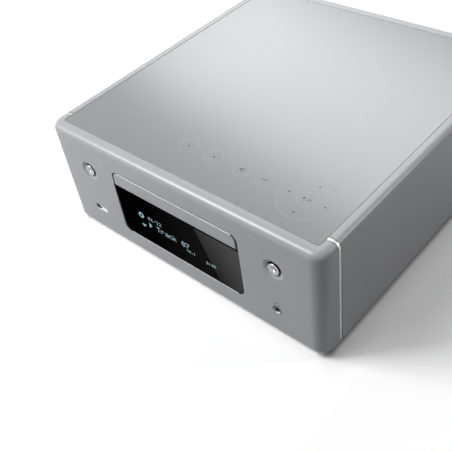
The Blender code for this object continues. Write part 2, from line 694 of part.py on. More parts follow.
def front_board(skin):
    """The circuit board across the front, notched for the disc tray."""
    bm = bmesh.new()
    low, high = BOTTOM + 0.013, TOP - 0.024
    half = INSIDE - 0.0175
    notch = LOADER_OUTSIDE + 0.002
    sill = LOADER_BASE + 0.006
    outline = [(-half, low), (half, low), (half, high), (notch, high), (notch, sill),
               (-notch, sill), (-notch, high), (-half, high)]
    prism(bm, outline, "Y", FRONT_BOARD_Y, FRONT_BOARD_BACK)
    board = put("front_board", bm, skin)
    holes = bmesh.new()
    box(holes, -USB_OFFSET - USB_WIDTH / 2 - FIT, -USB_OFFSET + USB_WIDTH / 2 + FIT,
        FRONT_BOARD_Y - 0.001, FRONT_BOARD_BACK + 0.001,
        USB_Z - USB_HEIGHT / 2 - FIT, USB_Z + USB_HEIGHT / 2 + FIT)
    return cut(board, holes)


SWITCH_DEPTH = 0.0032


def tact_switch(name, x, skin):
    """The small square switch behind a button."""
    bm = bmesh.new()
    back = FRONT_BOARD_Y - FIT
    box(bm, x - 0.003, x + 0.003, back - SWITCH_DEPTH, back, BUTTON_Z - 0.003, BUTTON_Z + 0.003)
    return put(name, bm, skin)


def push_button(name, x, skin):
    """A turned cap with a hollow face, a collar behind the wall and a stem to its switch."""
    face = FRONT + 0.0002
    collar = FRONT_INSIDE + FIT
    stem = FRONT_BOARD_Y - FIT - SWITCH_DEPTH - FIT - BUTTON_TRAVEL
    profile = [(BUTTON_RADIUS * n / 3, face + 0.0008 * (1 - (n / 3) ** 2)) for n in range(4)]
    profile[-1] = (BUTTON_RADIUS - 0.0004, face)
    profile += [(BUTTON_RADIUS, face + 0.0004), (BUTTON_RADIUS, collar),
                (BUTTON_RADIUS + 0.0016, collar), (BUTTON_RADIUS + 0.0016, collar + 0.0008),
                (0.002, collar + 0.0008), (0.002, stem), (0, stem)]
    bm = bmesh.new()
    lathe(bm, "Y", x, BUTTON_Z, profile, 16)
    return put(name, bm, skin, origin=(x, face, BUTTON_Z))


def usb_socket(skin):
    """A pressed shell with the contact tongue inside it."""
    bm = bmesh.new()
    x0, x1 = -USB_OFFSET - USB_WIDTH / 2, -USB_OFFSET + USB_WIDTH / 2
    z0, z1 = USB_Z - USB_HEIGHT / 2, USB_Z + USB_HEIGHT / 2
    front, back = FRONT + 0.0005, FRONT_BOARD_BACK + 0.004
    box(bm, x0, x1, front, back, z0, z1)
    socket = put("usb_socket", bm, skin)
    pocket = bmesh.new()
    box(pocket, x0 + USB_SHELL, x1 - USB_SHELL, front - 0.001, back - 0.0015, z0 + USB_SHELL,
        z1 - USB_SHELL)
    cut(socket, pocket)
    tongue = bmesh.new()
    box(tongue, x0 + 0.0011, x1 - 0.0011, front + 0.0004, back - 0.001, USB_Z + 0.0002, USB_Z + 0.0018)
    return join(socket, tongue)


def headphone_ring(skin):
    bm = bmesh.new()
    inner = JACK_RADIUS - 0.0013
    lathe(bm, "Y", JACK_OFFSET, JACK_Z,
          [(inner, FRONT + 0.0002), (inner + 0.0004, FRONT), (JACK_RADIUS - 0.0003, FRONT),
           (JACK_RADIUS, FRONT + 0.0003), (JACK_RADIUS, FRONT_INSIDE), (inner, FRONT_INSIDE)], 16)
    return put("headphone_ring", bm, skin)


def headphone_jack(skin):
    """The moulded jack: its barrel reaches into the ring, and its block stands on the board."""
    barrel = JACK_RADIUS - 0.0013 - FIT
    bm = bmesh.new()
    lathe(bm, "Y", JACK_OFFSET, JACK_Z,
          [(JACK_BORE, FRONT + 0.001), (barrel, FRONT + 0.001), (barrel, FRONT_INSIDE + 0.001),
           (JACK_BORE, FRONT_INSIDE + 0.001)], 16)
    jack = put("headphone_jack", bm, skin)
    block = bmesh.new()
    box(block, JACK_OFFSET - 0.005, JACK_OFFSET + 0.005, FRONT_INSIDE + FIT, FRONT_BOARD_Y - FIT,
        JACK_Z - 0.006, JACK_Z + 0.005)
    join(jack, block)
    bore = bmesh.new()
    rod(bore, "Y", JACK_OFFSET, JACK_Z, JACK_BORE, FRONT, FRONT_BOARD_Y - 0.0015, 16)
    return cut(jack, bore)


# ---- Disc loader: what stays with the cabinet ----------------------------------------------------
LUG_PLACES = [(side, y) for side in (-1, 1) for y in (LOADER_FRONT + 0.0215, LOADER_BACK - 0.016)]
LUG_REACH = 0.0115
FLOOR_OPENING = TRAVERSE_HALF_WIDTH + 0.003


def loader_chassis(skin):
    """The moulded loader: a floor, side walls with the tray's rails, posts and hinge ears."""
    bm = bmesh.new()
    inside, outside = LOADER_INSIDE, LOADER_OUTSIDE
    reach = inside - RAIL_REACH
    under = TRAY_UNDERSIDE - SKIRT - FIT
    over = TRAY_TOP + FIT
    right = [(outside, LOADER_BASE), (outside, LOADER_TOP), (inside, LOADER_TOP),
             (inside, over + RAIL), (reach, over + RAIL), (reach, over), (inside, over),
             (inside, under), (reach, under), (reach, under - RAIL), (inside, under - RAIL),
             (inside, LOADER_FLOOR)]
    left = [(-x, z) for x, z in reversed(right)]
    prism(bm, right + left, "Y", LOADER_FRONT, LOADER_BACK)
    chassis = put("loader_chassis", bm, skin)
    added = bmesh.new()
    box(added, -inside - 0.0005, inside + 0.0005, LOADER_BACK - LOADER_WALL, LOADER_BACK,
        LOADER_FLOOR - 0.0005, TRAY_TOP - 0.003)
    for side, y in LUG_PLACES:
        near, far = outside - 0.0005, outside + LUG_REACH
        x0, x1 = (near, far) if side > 0 else (-far, -near)
        box(added, x0, x1, y - 0.006, y + 0.006, LOADER_BASE, LOADER_BASE + 0.003)
    lathe(added, "Z", DRIVE_X, DRIVE_Y, post_profile(0.0057, TRAVERSE_TOP - 0.0002), 10)
    lathe(added, "Z", BELT_X, DRIVE_Y, post_profile(0.0005, BELT_Z + 0.0082), 10)
    for side in (-1, 1):
        x = side * (FLOOR_OPENING + 0.0033)
        box(added, x - 0.0013, x + 0.0013, PIVOT_Y - 0.006, PIVOT_Y + 0.006, LOADER_FLOOR - 0.0005,
            TRAVERSE_TOP)
    join(chassis, added)
    holes = bmesh.new()
    low, high = LOADER_BASE - 0.001, LOADER_FLOOR + 0.001
    prism(holes, rounded(-FLOOR_OPENING, FLOOR_OPENING, TRAVERSE_FRONT + 0.0005, PIVOT_Y - 0.008,
                         0.004, 3), "Z", low, high)
    box(holes, CAM_LEFT - FIT, CAM_RIGHT + CAM_TRAVEL + FIT, CAM_FRONT - FIT, CAM_BACK + FIT,
        LOADER_FLOOR - 0.001, high)
    rod(holes, "Z", MOTOR_X, DRIVE_Y, 0.0035, low, high, 16)
    for side in (-1, 1):
        x = side * (FLOOR_OPENING + 0.0033)
        box(holes, x - 0.002, x + 0.002, PIVOT_Y - 0.0020, PIVOT_Y + 0.0020, PIVOT_Z - 0.0020,
            TRAVERSE_TOP + 0.001)
    return cut(chassis, holes)


CAM_LEFT, CAM_RIGHT = CAM_PIN_X - CAM_TRAVEL - 0.006, CAM_PIN_X + 0.006


def post_profile(shoulder, high):
    """A thin axle on a wider shoulder, rising from the loader's floor."""
    low = LOADER_FLOOR - 0.0005
    step = LOADER_FLOOR + shoulder
    return [(0, low), (0.003, low), (0.003, step), (AXLE_RADIUS, step), (AXLE_RADIUS, high - 0.0004),
            (AXLE_RADIUS - 0.0004, high), (0, high)]


def loader_bracket(name, side, skin):
    """A C-shaped steel bracket that carries one side of the loader above the pan."""
    near, far = BRACKET_X - LUG_REACH - FIT, BRACKET_X
    low = PAN_TOP + FIT
    outline = [(near, BRACKET_TOP - SHEET), (far - SHEET, BRACKET_TOP - SHEET),
               (far - SHEET, low + SHEET), (far - BRACKET_FOOT, low + SHEET), (far - BRACKET_FOOT, low),
               (far, low), (far, BRACKET_TOP), (near, BRACKET_TOP)]
    if side < 0:
        outline = [(-x, z) for x, z in outline]
    front, back = LUG_PLACES[0][1] - 0.008, LUG_PLACES[1][1] + 0.008
    bm = bmesh.new()
    prism(bm, outline, "Y", front, back)
    bracket = put(name, bm, skin)
    holes = bmesh.new()
    middle = (front + back) / 2
    for y0, y1 in ((front + 0.014, middle - 0.006), (middle + 0.006, back - 0.014)):
        prism(holes, rounded(y0, y1, low + 0.012, BRACKET_TOP - 0.012, 0.004, 2), "X",
              side * far - 0.003, side * far + 0.003)
    return cut(bracket, holes)


BRIDGE_BOTTOM = LOADER_TOP + FIT
BRIDGE_THICKNESS = 0.0025
PUCK_NECK = 0.011
PUCK_FLANGE = 0.0165


def clamp_bridge(skin):
    """The bridge over the tray, with a raised ring that carries the clamp puck."""
    bm = bmesh.new()
    high = BRIDGE_BOTTOM + BRIDGE_THICKNESS
    prism(bm, rounded(-LOADER_OUTSIDE, LOADER_OUTSIDE, DISC_Y - 0.013, DISC_Y + 0.013, 0.003, 2), "Z",
          BRIDGE_BOTTOM, high)
    bridge = put("clamp_bridge", bm, skin)
    rim = bmesh.new()
    prism(rim, circle(0, DISC_Y, PUCK_FLANGE + 0.0040, 20), "Z", BRIDGE_BOTTOM + 0.0002, high + 0.0015)
    join(bridge, rim)
    hole = bmesh.new()
    lathe(hole, "Z", 0, DISC_Y, [(0, BRIDGE_BOTTOM - 0.001), (PUCK_NECK + 0.0006, BRIDGE_BOTTOM - 0.001),
                                 (PUCK_NECK + 0.0006, high - FIT), (PUCK_FLANGE + 0.001, high - FIT),
                                 (PUCK_FLANGE + 0.001, high + 0.003), (0, high + 0.003)], 16)
    return cut(bridge, hole)


def loading_motor(skin):
    """The small motor under the loader's floor; its shaft comes up through it."""
    high = LOADER_BASE - FIT
    shaft = BELT_Z + 0.0028
    bm = bmesh.new()
    lathe(bm, "Z", MOTOR_X, DRIVE_Y,
          [(0, high - 0.0145), (0.0035, high - 0.0145), (0.0035, high - 0.0135), (0.0095, high - 0.0135),
           (0.0100, high - 0.0130), (0.0100, high), (0.0028, high), (0.0028, high + 0.0010),
           (0.0010, high + 0.0010), (0.0010, shaft), (0, shaft)], 14)
    return put("loading_motor", bm, skin)


def belt_outline(offset, steps=8):
    """The loop that runs round the large pulley and the motor's pulley."""
    large, small = PULLEY_GROOVE + offset, MOTOR_GROOVE + offset
    lean = math.degrees(math.acos((large - small) / (MOTOR_X - BELT_X)))
    return (arc(BELT_X, DRIVE_Y, large, lean, 360 - lean, 2 * steps)
            + arc(MOTOR_X, DRIVE_Y, small, -lean, lean, steps))


def drive_belt(skin):
    bm = bmesh.new()
    ring(bm, belt_outline(FIT + BELT_THICKNESS), belt_outline(FIT), "Z", BELT_Z - 0.0008, BELT_Z + 0.0008)
    return put("drive_belt", bm, skin)


# ---- Disc loader: what moves -----------------------------------------------------------------------
def disc_tray(skin):
    """The tray: two stepped recesses, a slot for the pickup, side skirts and the rack below."""
    bm = bmesh.new()
    box(bm, -TRAY_HALF_WIDTH, TRAY_HALF_WIDTH, TRAY_FRONT, TRAY_BACK, TRAY_UNDERSIDE, TRAY_TOP)
    tray = put("disc_tray", bm, skin)
    added = bmesh.new()
    for side in (-1, 1):
        x0, x1 = sorted((side * TRAY_HALF_WIDTH, side * (TRAY_HALF_WIDTH - 0.003)))
        box(added, x0, x1, TRAY_FRONT, TRAY_BACK, TRAY_UNDERSIDE - SKIRT, TRAY_UNDERSIDE + 0.001)
    teeth = rack(-RACK_OFFSET, -RACK_OFFSET - 0.006, DRIVE_Y - 0.005, TRAY_BACK - 0.001, DRIVE_Y,
                 TOOTH_MODULE)
    prism(added, teeth, "Z", RACK_BOTTOM, TRAY_UNDERSIDE + 0.001)
    join(tray, added)
    hollow = bmesh.new()
    high = TRAY_TOP + 0.001
    floor = TRAY_TOP - DISC_RECESS
    lathe(hollow, "Z", 0, DISC_Y,
          [(0, floor - SMALL_RECESS), (SMALL_DISC_RADIUS, floor - SMALL_RECESS),
           (SMALL_DISC_RADIUS + 0.0005, floor), (DISC_RADIUS - 0.0008, floor), (DISC_RADIUS, TRAY_TOP),
           (DISC_RADIUS, high), (0, high)], 40)
    cut(tray, hollow)
    slot = bmesh.new()
    half = TURNTABLE_RADIUS + 0.0055
    prism(slot, arc(0, DISC_Y, half, 180, 360, 12) + [(half, DISC_Y + 0.0695), (-half, DISC_Y + 0.0695)],
          "Z", TRAY_UNDERSIDE - 0.001, high)
    for side in (-1, 1):
        x0, x1 = sorted((side * 0.0290, side * 0.0440))
        prism(slot, rounded(x0, x1, DISC_Y + 0.062, TRAY_BACK - 0.007, 0.003, 2), "Z",
              TRAY_UNDERSIDE - 0.001, high)
    return cut(tray, slot)


def tray_door(skin):
    """The front of the tray, which fills the upper part of the window."""
    bm = bmesh.new()
    corner = WINDOW_RADIUS - DOOR_GAP
    outline = ([(-DOOR_HALF, DOOR_BOTTOM), (DOOR_HALF, DOOR_BOTTOM)]
               + arc(DOOR_HALF - corner, DOOR_TOP - corner, corner, 0, 90, 6)
               + arc(-DOOR_HALF + corner, DOOR_TOP - corner, corner, 90, 180, 6))
    prism(bm, outline, "Y", FRONT, DOOR_BACK)
    return put("tray_door", bm, skin)


def drive_gear(skin):
    """The tall gear between the pinion and the tray's rack."""
    bm = bmesh.new()
    low = LOADER_FLOOR + 0.006
    prism(bm, gear(DRIVE_X, DRIVE_Y, DRIVE_TEETH, TOOTH_MODULE, math.pi), "Z", low,
          TRAVERSE_TOP - 0.0006)
    wheel = put("drive_gear", bm, skin, origin=(DRIVE_X, DRIVE_Y, low))
    bore = bmesh.new()
    rod(bore, "Z", DRIVE_X, DRIVE_Y, AXLE_RADIUS + FIT, low - 0.001, TRAVERSE_TOP, 12)
    return cut(wheel, bore)


def grooved(groove, flange, hole):
    """The profile of a pulley with the belt's groove."""
    low, high = BELT_Z - 0.0022, BELT_Z + 0.0022
    return [(hole, low), (flange, low), (flange, low + 0.0007), (groove, BELT_Z - 0.0011),
            (groove, BELT_Z + 0.0011), (flange, high - 0.0007), (flange, high), (hole, high)]


def belt_pulley(skin):
    """The large pulley, moulded in one with the pinion that drives the tall gear."""
    bm = bmesh.new()
    bore = AXLE_RADIUS + FIT
    lathe(bm, "Z", BELT_X, DRIVE_Y, grooved(PULLEY_GROOVE, PULLEY_GROOVE + 0.0018, bore), 16)
    low = BELT_Z + 0.0020
    wheel = put("belt_pulley", bm, skin, origin=(BELT_X, DRIVE_Y, BELT_Z))
    pinion = bmesh.new()
    prism(pinion, gear(BELT_X, DRIVE_Y, PINION_TEETH, TOOTH_MODULE, math.pi + math.pi / PINION_TEETH),
          "Z", low, BELT_Z + 0.0075)
    join(wheel, pinion)
    hole = bmesh.new()
    rod(hole, "Z", BELT_X, DRIVE_Y, bore, BELT_Z - 0.003, BELT_Z + 0.0085, 12)
    return cut(wheel, hole)


def motor_pulley(skin):
    bm = bmesh.new()
    lathe(bm, "Z", MOTOR_X, DRIVE_Y, grooved(MOTOR_GROOVE, MOTOR_GROOVE + 0.0017, 0.0010 + FIT), 12)
    return put("motor_pulley", bm, skin, origin=(MOTOR_X, DRIVE_Y, BELT_Z))


def lowered(x, y, z):
    """Where a point of the level traverse lies when the traverse is down."""
    turn = Matrix.Rotation(TILT, 4, "X")
    pivot = Vector((0, PIVOT_Y, PIVOT_Z))
    return turn @ (Vector((x, y, z)) - pivot) + pivot


def cam_slider(skin):
    """The plate whose sloping slot lifts the traverse by its pin."""
    bm = bmesh.new()
    low = LOADER_FLOOR - 0.001 + FIT
    box(bm, CAM_LEFT, CAM_RIGHT, CAM_FRONT, CAM_BACK, low, TRAVERSE_TOP)
    slider = put("cam_slider", bm, skin)
    middle = (CAM_FRONT + CAM_BACK) / 2
    down = lowered(CAM_PIN_X, middle, CAM_PIN_Z)
    slot = bmesh.new()
    prism(slot, capsule((CAM_PIN_X, down.z), (CAM_PIN_X - CAM_TRAVEL, CAM_PIN_Z),
                        CAM_PIN_RADIUS + 0.0004, 6), "Y", CAM_FRONT - 0.001, CAM_BACK + 0.001)
    return cut(slider, slot)


def traverse_frame(skin, parent):
    """The hinged frame that carries the spindle motor, the rods and the pickup."""
    bm = bmesh.new()
    half = TRAVERSE_HALF_WIDTH
    prism(bm, rounded(-half, half, TRAVERSE_FRONT, TRAVERSE_BACK, 0.004, 3), "Z", TRAVERSE_BOTTOM,
          TRAVERSE_TOP)
    frame = put("traverse_frame", bm, skin, parent=parent)
    holes = bmesh.new()
    low, high = TRAVERSE_BOTTOM - 0.001, TRAVERSE_TOP + 0.001
    rod(holes, "Z", 0, DISC_Y, SPINDLE_MOTOR_RADIUS + 2 * FIT, low, high, 20)
    prism(holes, rounded(-0.028, 0.028, WELL_FRONT, WELL_BACK, 0.002, 2), "Z", low, high)
    cut(frame, holes)
    sockets = bmesh.new()
    for side in (-1, 1):
        rod(sockets, "Y", side * ROD_OFFSET, PIVOT_Z, ROD_RADIUS + FIT, WELL_FRONT - 0.005,
            WELL_BACK + 0.005, 10)
    cut(frame, sockets)
    pins = bmesh.new()
    rod(pins, "Y", CAM_PIN_X, CAM_PIN_Z, CAM_PIN_RADIUS, CAM_FRONT - 0.0006, TRAVERSE_FRONT + 0.001, 12)
    for side in (-1, 1):
        x0, x1 = sorted((side * (half - 0.001), side * (FLOOR_OPENING + 0.0048)))
        rod(pins, "X", PIVOT_Y, PIVOT_Z, 0.0016, x0, x1, 12)
        rod(pins, "Z", SLED_X, SLED_Y + side * 0.0085, 0.0012, SLED_GEAR_LOW - 0.0006,
            TRAVERSE_BOTTOM + 0.001, 8)
    return join(frame, pins)


WELL_FRONT, WELL_BACK = DISC_Y + 0.0135, DISC_Y + 0.0785
SLED_RADIUS = SLED_TEETH * SLED_MODULE / 2
SLED_TRAVEL = 0.035
SLED_Y = DISC_Y + 0.0520
SLED_GEAR_LOW, SLED_GEAR_HIGH = TRAVERSE_BOTTOM - 0.0034, TRAVERSE_BOTTOM - 0.0006


def guide_rod(name, x, skin, parent):
    bm = bmesh.new()
    rod(bm, "Y", x, PIVOT_Z, ROD_RADIUS, WELL_FRONT - 0.005 + FIT, WELL_BACK + 0.005 - FIT, 10)
    return put(name, bm, skin, parent=parent)


MOTOR_SHOULDER = TRAVERSE_TOP + 0.0006


def spindle_motor(skin, parent):
    bm = bmesh.new()
    lathe(bm, "Z", 0, DISC_Y,
          [(0, TRAVERSE_TOP - 0.0085), (SPINDLE_MOTOR_RADIUS - 0.001, TRAVERSE_TOP - 0.0085),
           (SPINDLE_MOTOR_RADIUS, TRAVERSE_TOP - 0.0075), (SPINDLE_MOTOR_RADIUS, TRAVERSE_TOP - 0.0003),
           (0.004, TRAVERSE_TOP - 0.0003), (0.004, MOTOR_SHOULDER), (0.001, MOTOR_SHOULDER),
           (0.001, MOTOR_SHOULDER + 0.001), (0, MOTOR_SHOULDER + 0.001)], 16)
    return put("spindle_motor", bm, skin, parent=parent)


def turntable(skin, parent):
    """The disc's seat with its centring cone, on the spindle motor's shaft."""
    face = TURNTABLE_FACE
    low = MOTOR_SHOULDER + 0.001 + FIT
    bm = bmesh.new()
    lathe(bm, "Z", 0, DISC_Y,
          [(0, low), (0.003, low), (0.003, face - 0.0018), (TURNTABLE_RADIUS - 0.0006, face - 0.0018),
           (TURNTABLE_RADIUS, face - 0.0012), (TURNTABLE_RADIUS, face), (HUB_RADIUS, face),
           (HUB_RADIUS - 0.0004, face + 0.0011), (HUB_RADIUS - 0.0016, face + 0.0020),
           (0.003, face + 0.0020), (0.0024, face + 0.0008), (0, face + 0.0008)], 16)
    return put("turntable", bm, skin, origin=(0, DISC_Y, face), parent=parent)


def pickup(skin, parent):
    """The carriage on the two rods: a lens tower above, and a short rack at its side."""
    low, high = TRAVERSE_BOTTOM - 0.001, TRAVERSE_TOP
    front = DISC_Y + 0.0145
    back = front + 0.024
    bm = bmesh.new()
    prism(bm, rounded(-0.0247, 0.0247, front, back, 0.002, 2), "Z", low, high)
    carriage = put("pickup", bm, skin, parent=parent)
    tower = bmesh.new()
    rod(tower, "Z", 0, PICKUP_Y, 0.005, high - 0.001, TRAY_TOP - 0.0038, 14)
    teeth = rack(SLED_X - SLED_RADIUS, 0.020, SLED_Y - SLED_TRAVEL - 0.002, SLED_Y + 0.003, SLED_Y,
                 SLED_MODULE)
    prism(tower, teeth, "Z", SLED_GEAR_LOW + 0.0003, low + 0.0002)
    join(carriage, tower)
    holes = bmesh.new()
    for side in (-1, 1):
        rod(holes, "Y", side * ROD_OFFSET, PIVOT_Z, ROD_RADIUS + FIT, front - 0.001, back + 0.001, 10)
    rod(holes, "Z", 0, PICKUP_Y, 0.0022, TRAY_TOP - 0.0058, TRAY_TOP - 0.003, 10)
    return cut(carriage, holes)


def sled_gear(skin, parent):
    """The gear under the frame that drives the pickup along its rods."""
    bm = bmesh.new()
    prism(bm, gear(SLED_X, SLED_Y, SLED_TEETH, SLED_MODULE, math.pi), "Z", SLED_GEAR_LOW,
          SLED_GEAR_HIGH)
    wheel = put("sled_gear", bm, skin, origin=(SLED_X, SLED_Y, SLED_GEAR_LOW), parent=parent)
    bore = bmesh.new()
    rod(bore, "Z", SLED_X, SLED_Y, 0.0013, SLED_GEAR_LOW - 0.001, SLED_GEAR_HIGH + 0.001, 12)
    return cut(wheel, bore)


def sled_motor(skin, parent):
    """The sled's motor: it hangs from the frame's two pins, with its shaft up through the gear."""
    plate = SLED_GEAR_LOW - 0.0006 - FIT
    bm = bmesh.new()
    lathe(bm, "Z", SLED_X, SLED_Y,
          [(0, plate - 0.0085), (0.0055, plate - 0.0085), (0.0060, plate - 0.0080),
           (0.0060, plate - 0.0010), (0.0060, plate - 0.0006), (0.0010, plate - 0.0006),
           (0.0010, SLED_GEAR_HIGH), (0, SLED_GEAR_HIGH)], 12)
    motor = put("sled_motor", bm, skin, parent=parent)
    ears = bmesh.new()
    prism(ears, capsule((SLED_X, SLED_Y - 0.0085), (SLED_X, SLED_Y + 0.0085), 0.0022, 4), "Z",
          plate - 0.0012, plate)
    return join(motor, ears)


def clamp_puck(skin):
    """The loose clamp: a flange that hangs in the bridge and a hollow that takes the hub."""
    seat = BRIDGE_BOTTOM + BRIDGE_THICKNESS
    low = TRAY_TOP + 0.0006
    bm = bmesh.new()
    lathe(bm, "Z", 0, DISC_Y,
          [(HUB_RADIUS + 0.001, low), (PUCK_NECK - 0.0005, low), (PUCK_NECK, low + 0.0005),
           (PUCK_NECK, seat), (PUCK_FLANGE, seat), (PUCK_FLANGE, seat + 0.0014), (0, seat + 0.0014),
           (0, low + 0.0026), (HUB_RADIUS + 0.001, low + 0.0026)], 16)
    return put("clamp_puck", bm, skin, origin=(0, DISC_Y, seat))


# ---- Boards ---------------------------------------------------------------------------------------
def board(name, skin):
    x0, x1, y0, y1 = BOARDS[name]
    bm = bmesh.new()
    box(bm, x0, x1, y0, y1, BOARD_Z, BOARD_TOP)
    return put(name, bm, skin)


CORE_WIDTH, CORE_LENGTH, CORE_HEIGHT = 0.024, 0.032, 0.024
CORE_BACK = 0.060  # from the power board's front edge to the core
WINDING_SIDE = 0.0035  # how far the winding bulges out of the core's sides
WINDING_INSET = 0.006  # from the core's ends to the winding
WINDING_LIFT = 0.002


def transformer(skin):
    """A wound core on its bobbin, standing on the power board."""
    x0, x1, y0, _ = BOARDS["power_board"]
    middle = (x0 + x1) / 2
    low = BOARD_TOP + FIT
    back, front = y0 + CORE_BACK, y0 + CORE_BACK + CORE_LENGTH
    half = CORE_WIDTH / 2
    bm = bmesh.new()
    box(bm, middle - half, middle + half, back, front, low, low + CORE_HEIGHT)
    core = put("transformer", bm, skin)
    winding = bmesh.new()
    reach = half + WINDING_SIDE
    prism(winding, rounded(middle - reach, middle + reach, low + WINDING_LIFT,
                           low + CORE_HEIGHT - WINDING_LIFT, 0.005, 3), "Y",
          back + WINDING_INSET, front - WINDING_INSET)
    return join(core, winding)


SMOOTHING = (0.026, 0.0110, 0.034)  # place along the board, radius and height of the big capacitor
SMALL_CAPACITORS = ((0.050, 0.009, 0.011, 0.0060, 0.022),  # along, from the left, from the right,
                    (0.110, 0.010, 0.009, 0.0065, 0.024))  # radius and height of each pair
SOLDERED = 0.0005  # how far a soldered piece reaches into its board


def capacitors(power_board):
    """Joins the smoothing capacitors onto the power board, where they are soldered."""
    x0, x1, y0, _ = BOARDS["power_board"]
    low = BOARD_TOP - SOLDERED
    along, radius, height = SMOOTHING
    cans = [((x0 + x1) / 2, y0 + along, radius, height)]
    for along, left, right, radius, height in SMALL_CAPACITORS:
        cans += [(x0 + left, y0 + along, radius, height), (x1 - right, y0 + along, radius, height)]
    bm = bmesh.new()
    for x, y, radius, height in cans:
        lathe(bm, "Z", x, y, [(0, low), (radius, low), (radius, low + height), (0, low + height)], 12)
    return join(power_board, bm)


FINS = 8
FIN_PITCH = 0.0092
FIN_WIDTH = 0.0018
FIN_REACH = 0.010
SINK_WEB = 0.004
SINK_HALF = 0.034
SINK_HEIGHT = 0.036
SINK_BACK = 0.014  # from the amplifier board's front edge to the root of the fins


def heat_sink(skin):
    """An extruded heat sink: a thick web with fins on its front."""
    x0, x1, y0, _ = BOARDS["amplifier_board"]
    left = (x0 + x1) / 2 - SINK_HALF
    root, tip = y0 + SINK_BACK, y0 + SINK_BACK - FIN_REACH
    points = [(left, root)]
    for n in range(FINS):
        x = left + n * FIN_PITCH
        points += [(x, tip), (x + FIN_WIDTH, tip), (x + FIN_WIDTH, root), (x + FIN_PITCH, root)]
    points = points[:-1]
    right = points[-1][0]
    bm = bmesh.new()
    prism(bm, points + [(right, root + SINK_WEB), (left, root + SINK_WEB)], "Z", BOARD_TOP + FIT,
          BOARD_TOP + SINK_HEIGHT)
    return put("heat_sink", bm, skin)


MODULE_WIDTH, MODULE_LENGTH, MODULE_HEIGHT = 0.044, 0.032, 0.005
MODULE_SIDE, MODULE_BACK = 0.008, 0.010  # from the main board's right and front edges


def network_module(main_board):
    """Joins the shielded network module onto the main board, where it is soldered."""
    _, x1, y0, _ = BOARDS["main_board"]
    right, back = x1 - MODULE_SIDE, y0 + MODULE_BACK
    bm = bmesh.new()
    prism(bm, rounded(right - MODULE_WIDTH, right, back, back + MODULE_LENGTH, 0.001, 1), "Z",
          BOARD_TOP - SOLDERED, BOARD_TOP + MODULE_HEIGHT)
    return join(main_board, bm)


# ---- Rear sockets ------------------------------------------------------------------------------------
REAR_FACE = REAR_BACK + FIT


def ac_inlet(skin):
    """The mains inlet: a flange, a deep pocket and two blades."""
    x0, x1, z0, z1 = INLET
    bm = bmesh.new()
    front = REAR_FRONT - 0.016
    box(bm, x0, x1, front, REAR_FACE + 0.0005, z0, z1)
    inlet = put("ac_inlet", bm, skin)
    flange = bmesh.new()
    prism(flange, rounded(x0 - 0.003, x1 + 0.003, z0 - 0.002, z1 + 0.002, 0.002, 2), "Y", REAR_FACE,
          REAR_FACE + 0.0022)
    join(inlet, flange)
    pocket = bmesh.new()
    chamfer = 0.0045
    a, b, c, d = x0 + 0.0018, x1 - 0.0018, z0 + 0.0017, z1 - 0.0017
    outline = [(a, c), (b, c), (b, d - chamfer), (b - chamfer, d), (a + chamfer, d), (a, d - chamfer)]
    prism(pocket, outline, "Y", front + 0.0015, REAR_FACE + 0.005)
    cut(inlet, pocket)
    blades = bmesh.new()
    for side in (-1, 1):
        x = (x0 + x1) / 2 + side * 0.007
        box(blades, x - 0.001, x + 0.001, front + 0.001, REAR_FRONT - 0.002, (z0 + z1) / 2 - 0.002,
            (z0 + z1) / 2 + 0.002)
    return join(inlet, blades)


def terminal_places():
    return [(TERMINAL_X + a * TERMINAL_SPACING_X / 2, TERMINAL_Z + b * TERMINAL_SPACING_Z / 2)
            for b in (1, -1) for a in (-1, 1)]


TERMINAL_FACE = REAR_FACE + 0.0025
COLLAR_FACE = TERMINAL_FACE + 0.0030
STUD_RADIUS = 0.0020


def terminal_base(skin):
    """The moulded block of the speaker terminals, with a collar round each moulded-in stud."""
    x0, x1, z0, z1 = TERMINALS
    bm = bmesh.new()
    box(bm, x0, x1, REAR_FRONT - 0.010, REAR_FACE + 0.0005, z0, z1)
    base = put("terminal_base", bm, skin)
    flange = bmesh.new()
    prism(flange, rounded(x0 - 0.004, x1 + 0.004, z0 - 0.004, z1 + 0.004, 0.003, 3), "Y", REAR_FACE,
          TERMINAL_FACE)
    join(base, flange)
    collars = bmesh.new()
    for x, z in terminal_places():
        rod(collars, "Y", x, z, TERMINAL_RADIUS - 0.0005, TERMINAL_FACE - 0.0005, COLLAR_FACE, 10)
    join(base, collars)
    studs = bmesh.new()
    back = REARMOST - 0.0062
    block = REAR_FRONT - 0.010
    for x, z in terminal_places():
        lathe(studs, "Y", x, z, [(0, block - 0.007), (STUD_RADIUS, block - 0.007),
                                 (STUD_RADIUS, block - 0.002), (0.0038, block - 0.002),
                                 (0.0038, block + 0.0005), (STUD_RADIUS, block + 0.0005),
                                 (STUD_RADIUS, back), (0, back)], 8)
    return join(base, studs)


def terminal_cap(name, x, z, skin):
    """A ribbed screw cap with a hole for a plug in its end."""
    low, high = COLLAR_FACE + FIT, REARMOST
    ribs = 8
    points = []
    for n in range(ribs):
        turn = 360 * n / ribs
        points += arc(x, z, TERMINAL_RADIUS, turn - 14, turn + 14, 1)
        points += arc(x, z, TERMINAL_RADIUS - 0.0006, turn + 22.5 - 5, turn + 22.5 + 5, 1)
    bm = bmesh.new()
    prism(bm, points, "Y", low, high - 0.001)
    cap = put(name, bm, skin, origin=(x, low, z))
    nose = bmesh.new()
    lathe(nose, "Y", x, z, [(0, high - 0.0015), (TERMINAL_RADIUS - 0.0007, high - 0.0015),
                            (TERMINAL_RADIUS - 0.0007, high - 0.0004),
                            (TERMINAL_RADIUS - 0.0011, high), (0, high)], 16)
    join(cap, nose)
    bore = bmesh.new()
    rod(bore, "Y", x, z, STUD_RADIUS + FIT, low - 0.001, high + 0.001, 12)
    return cut(cap, bore)


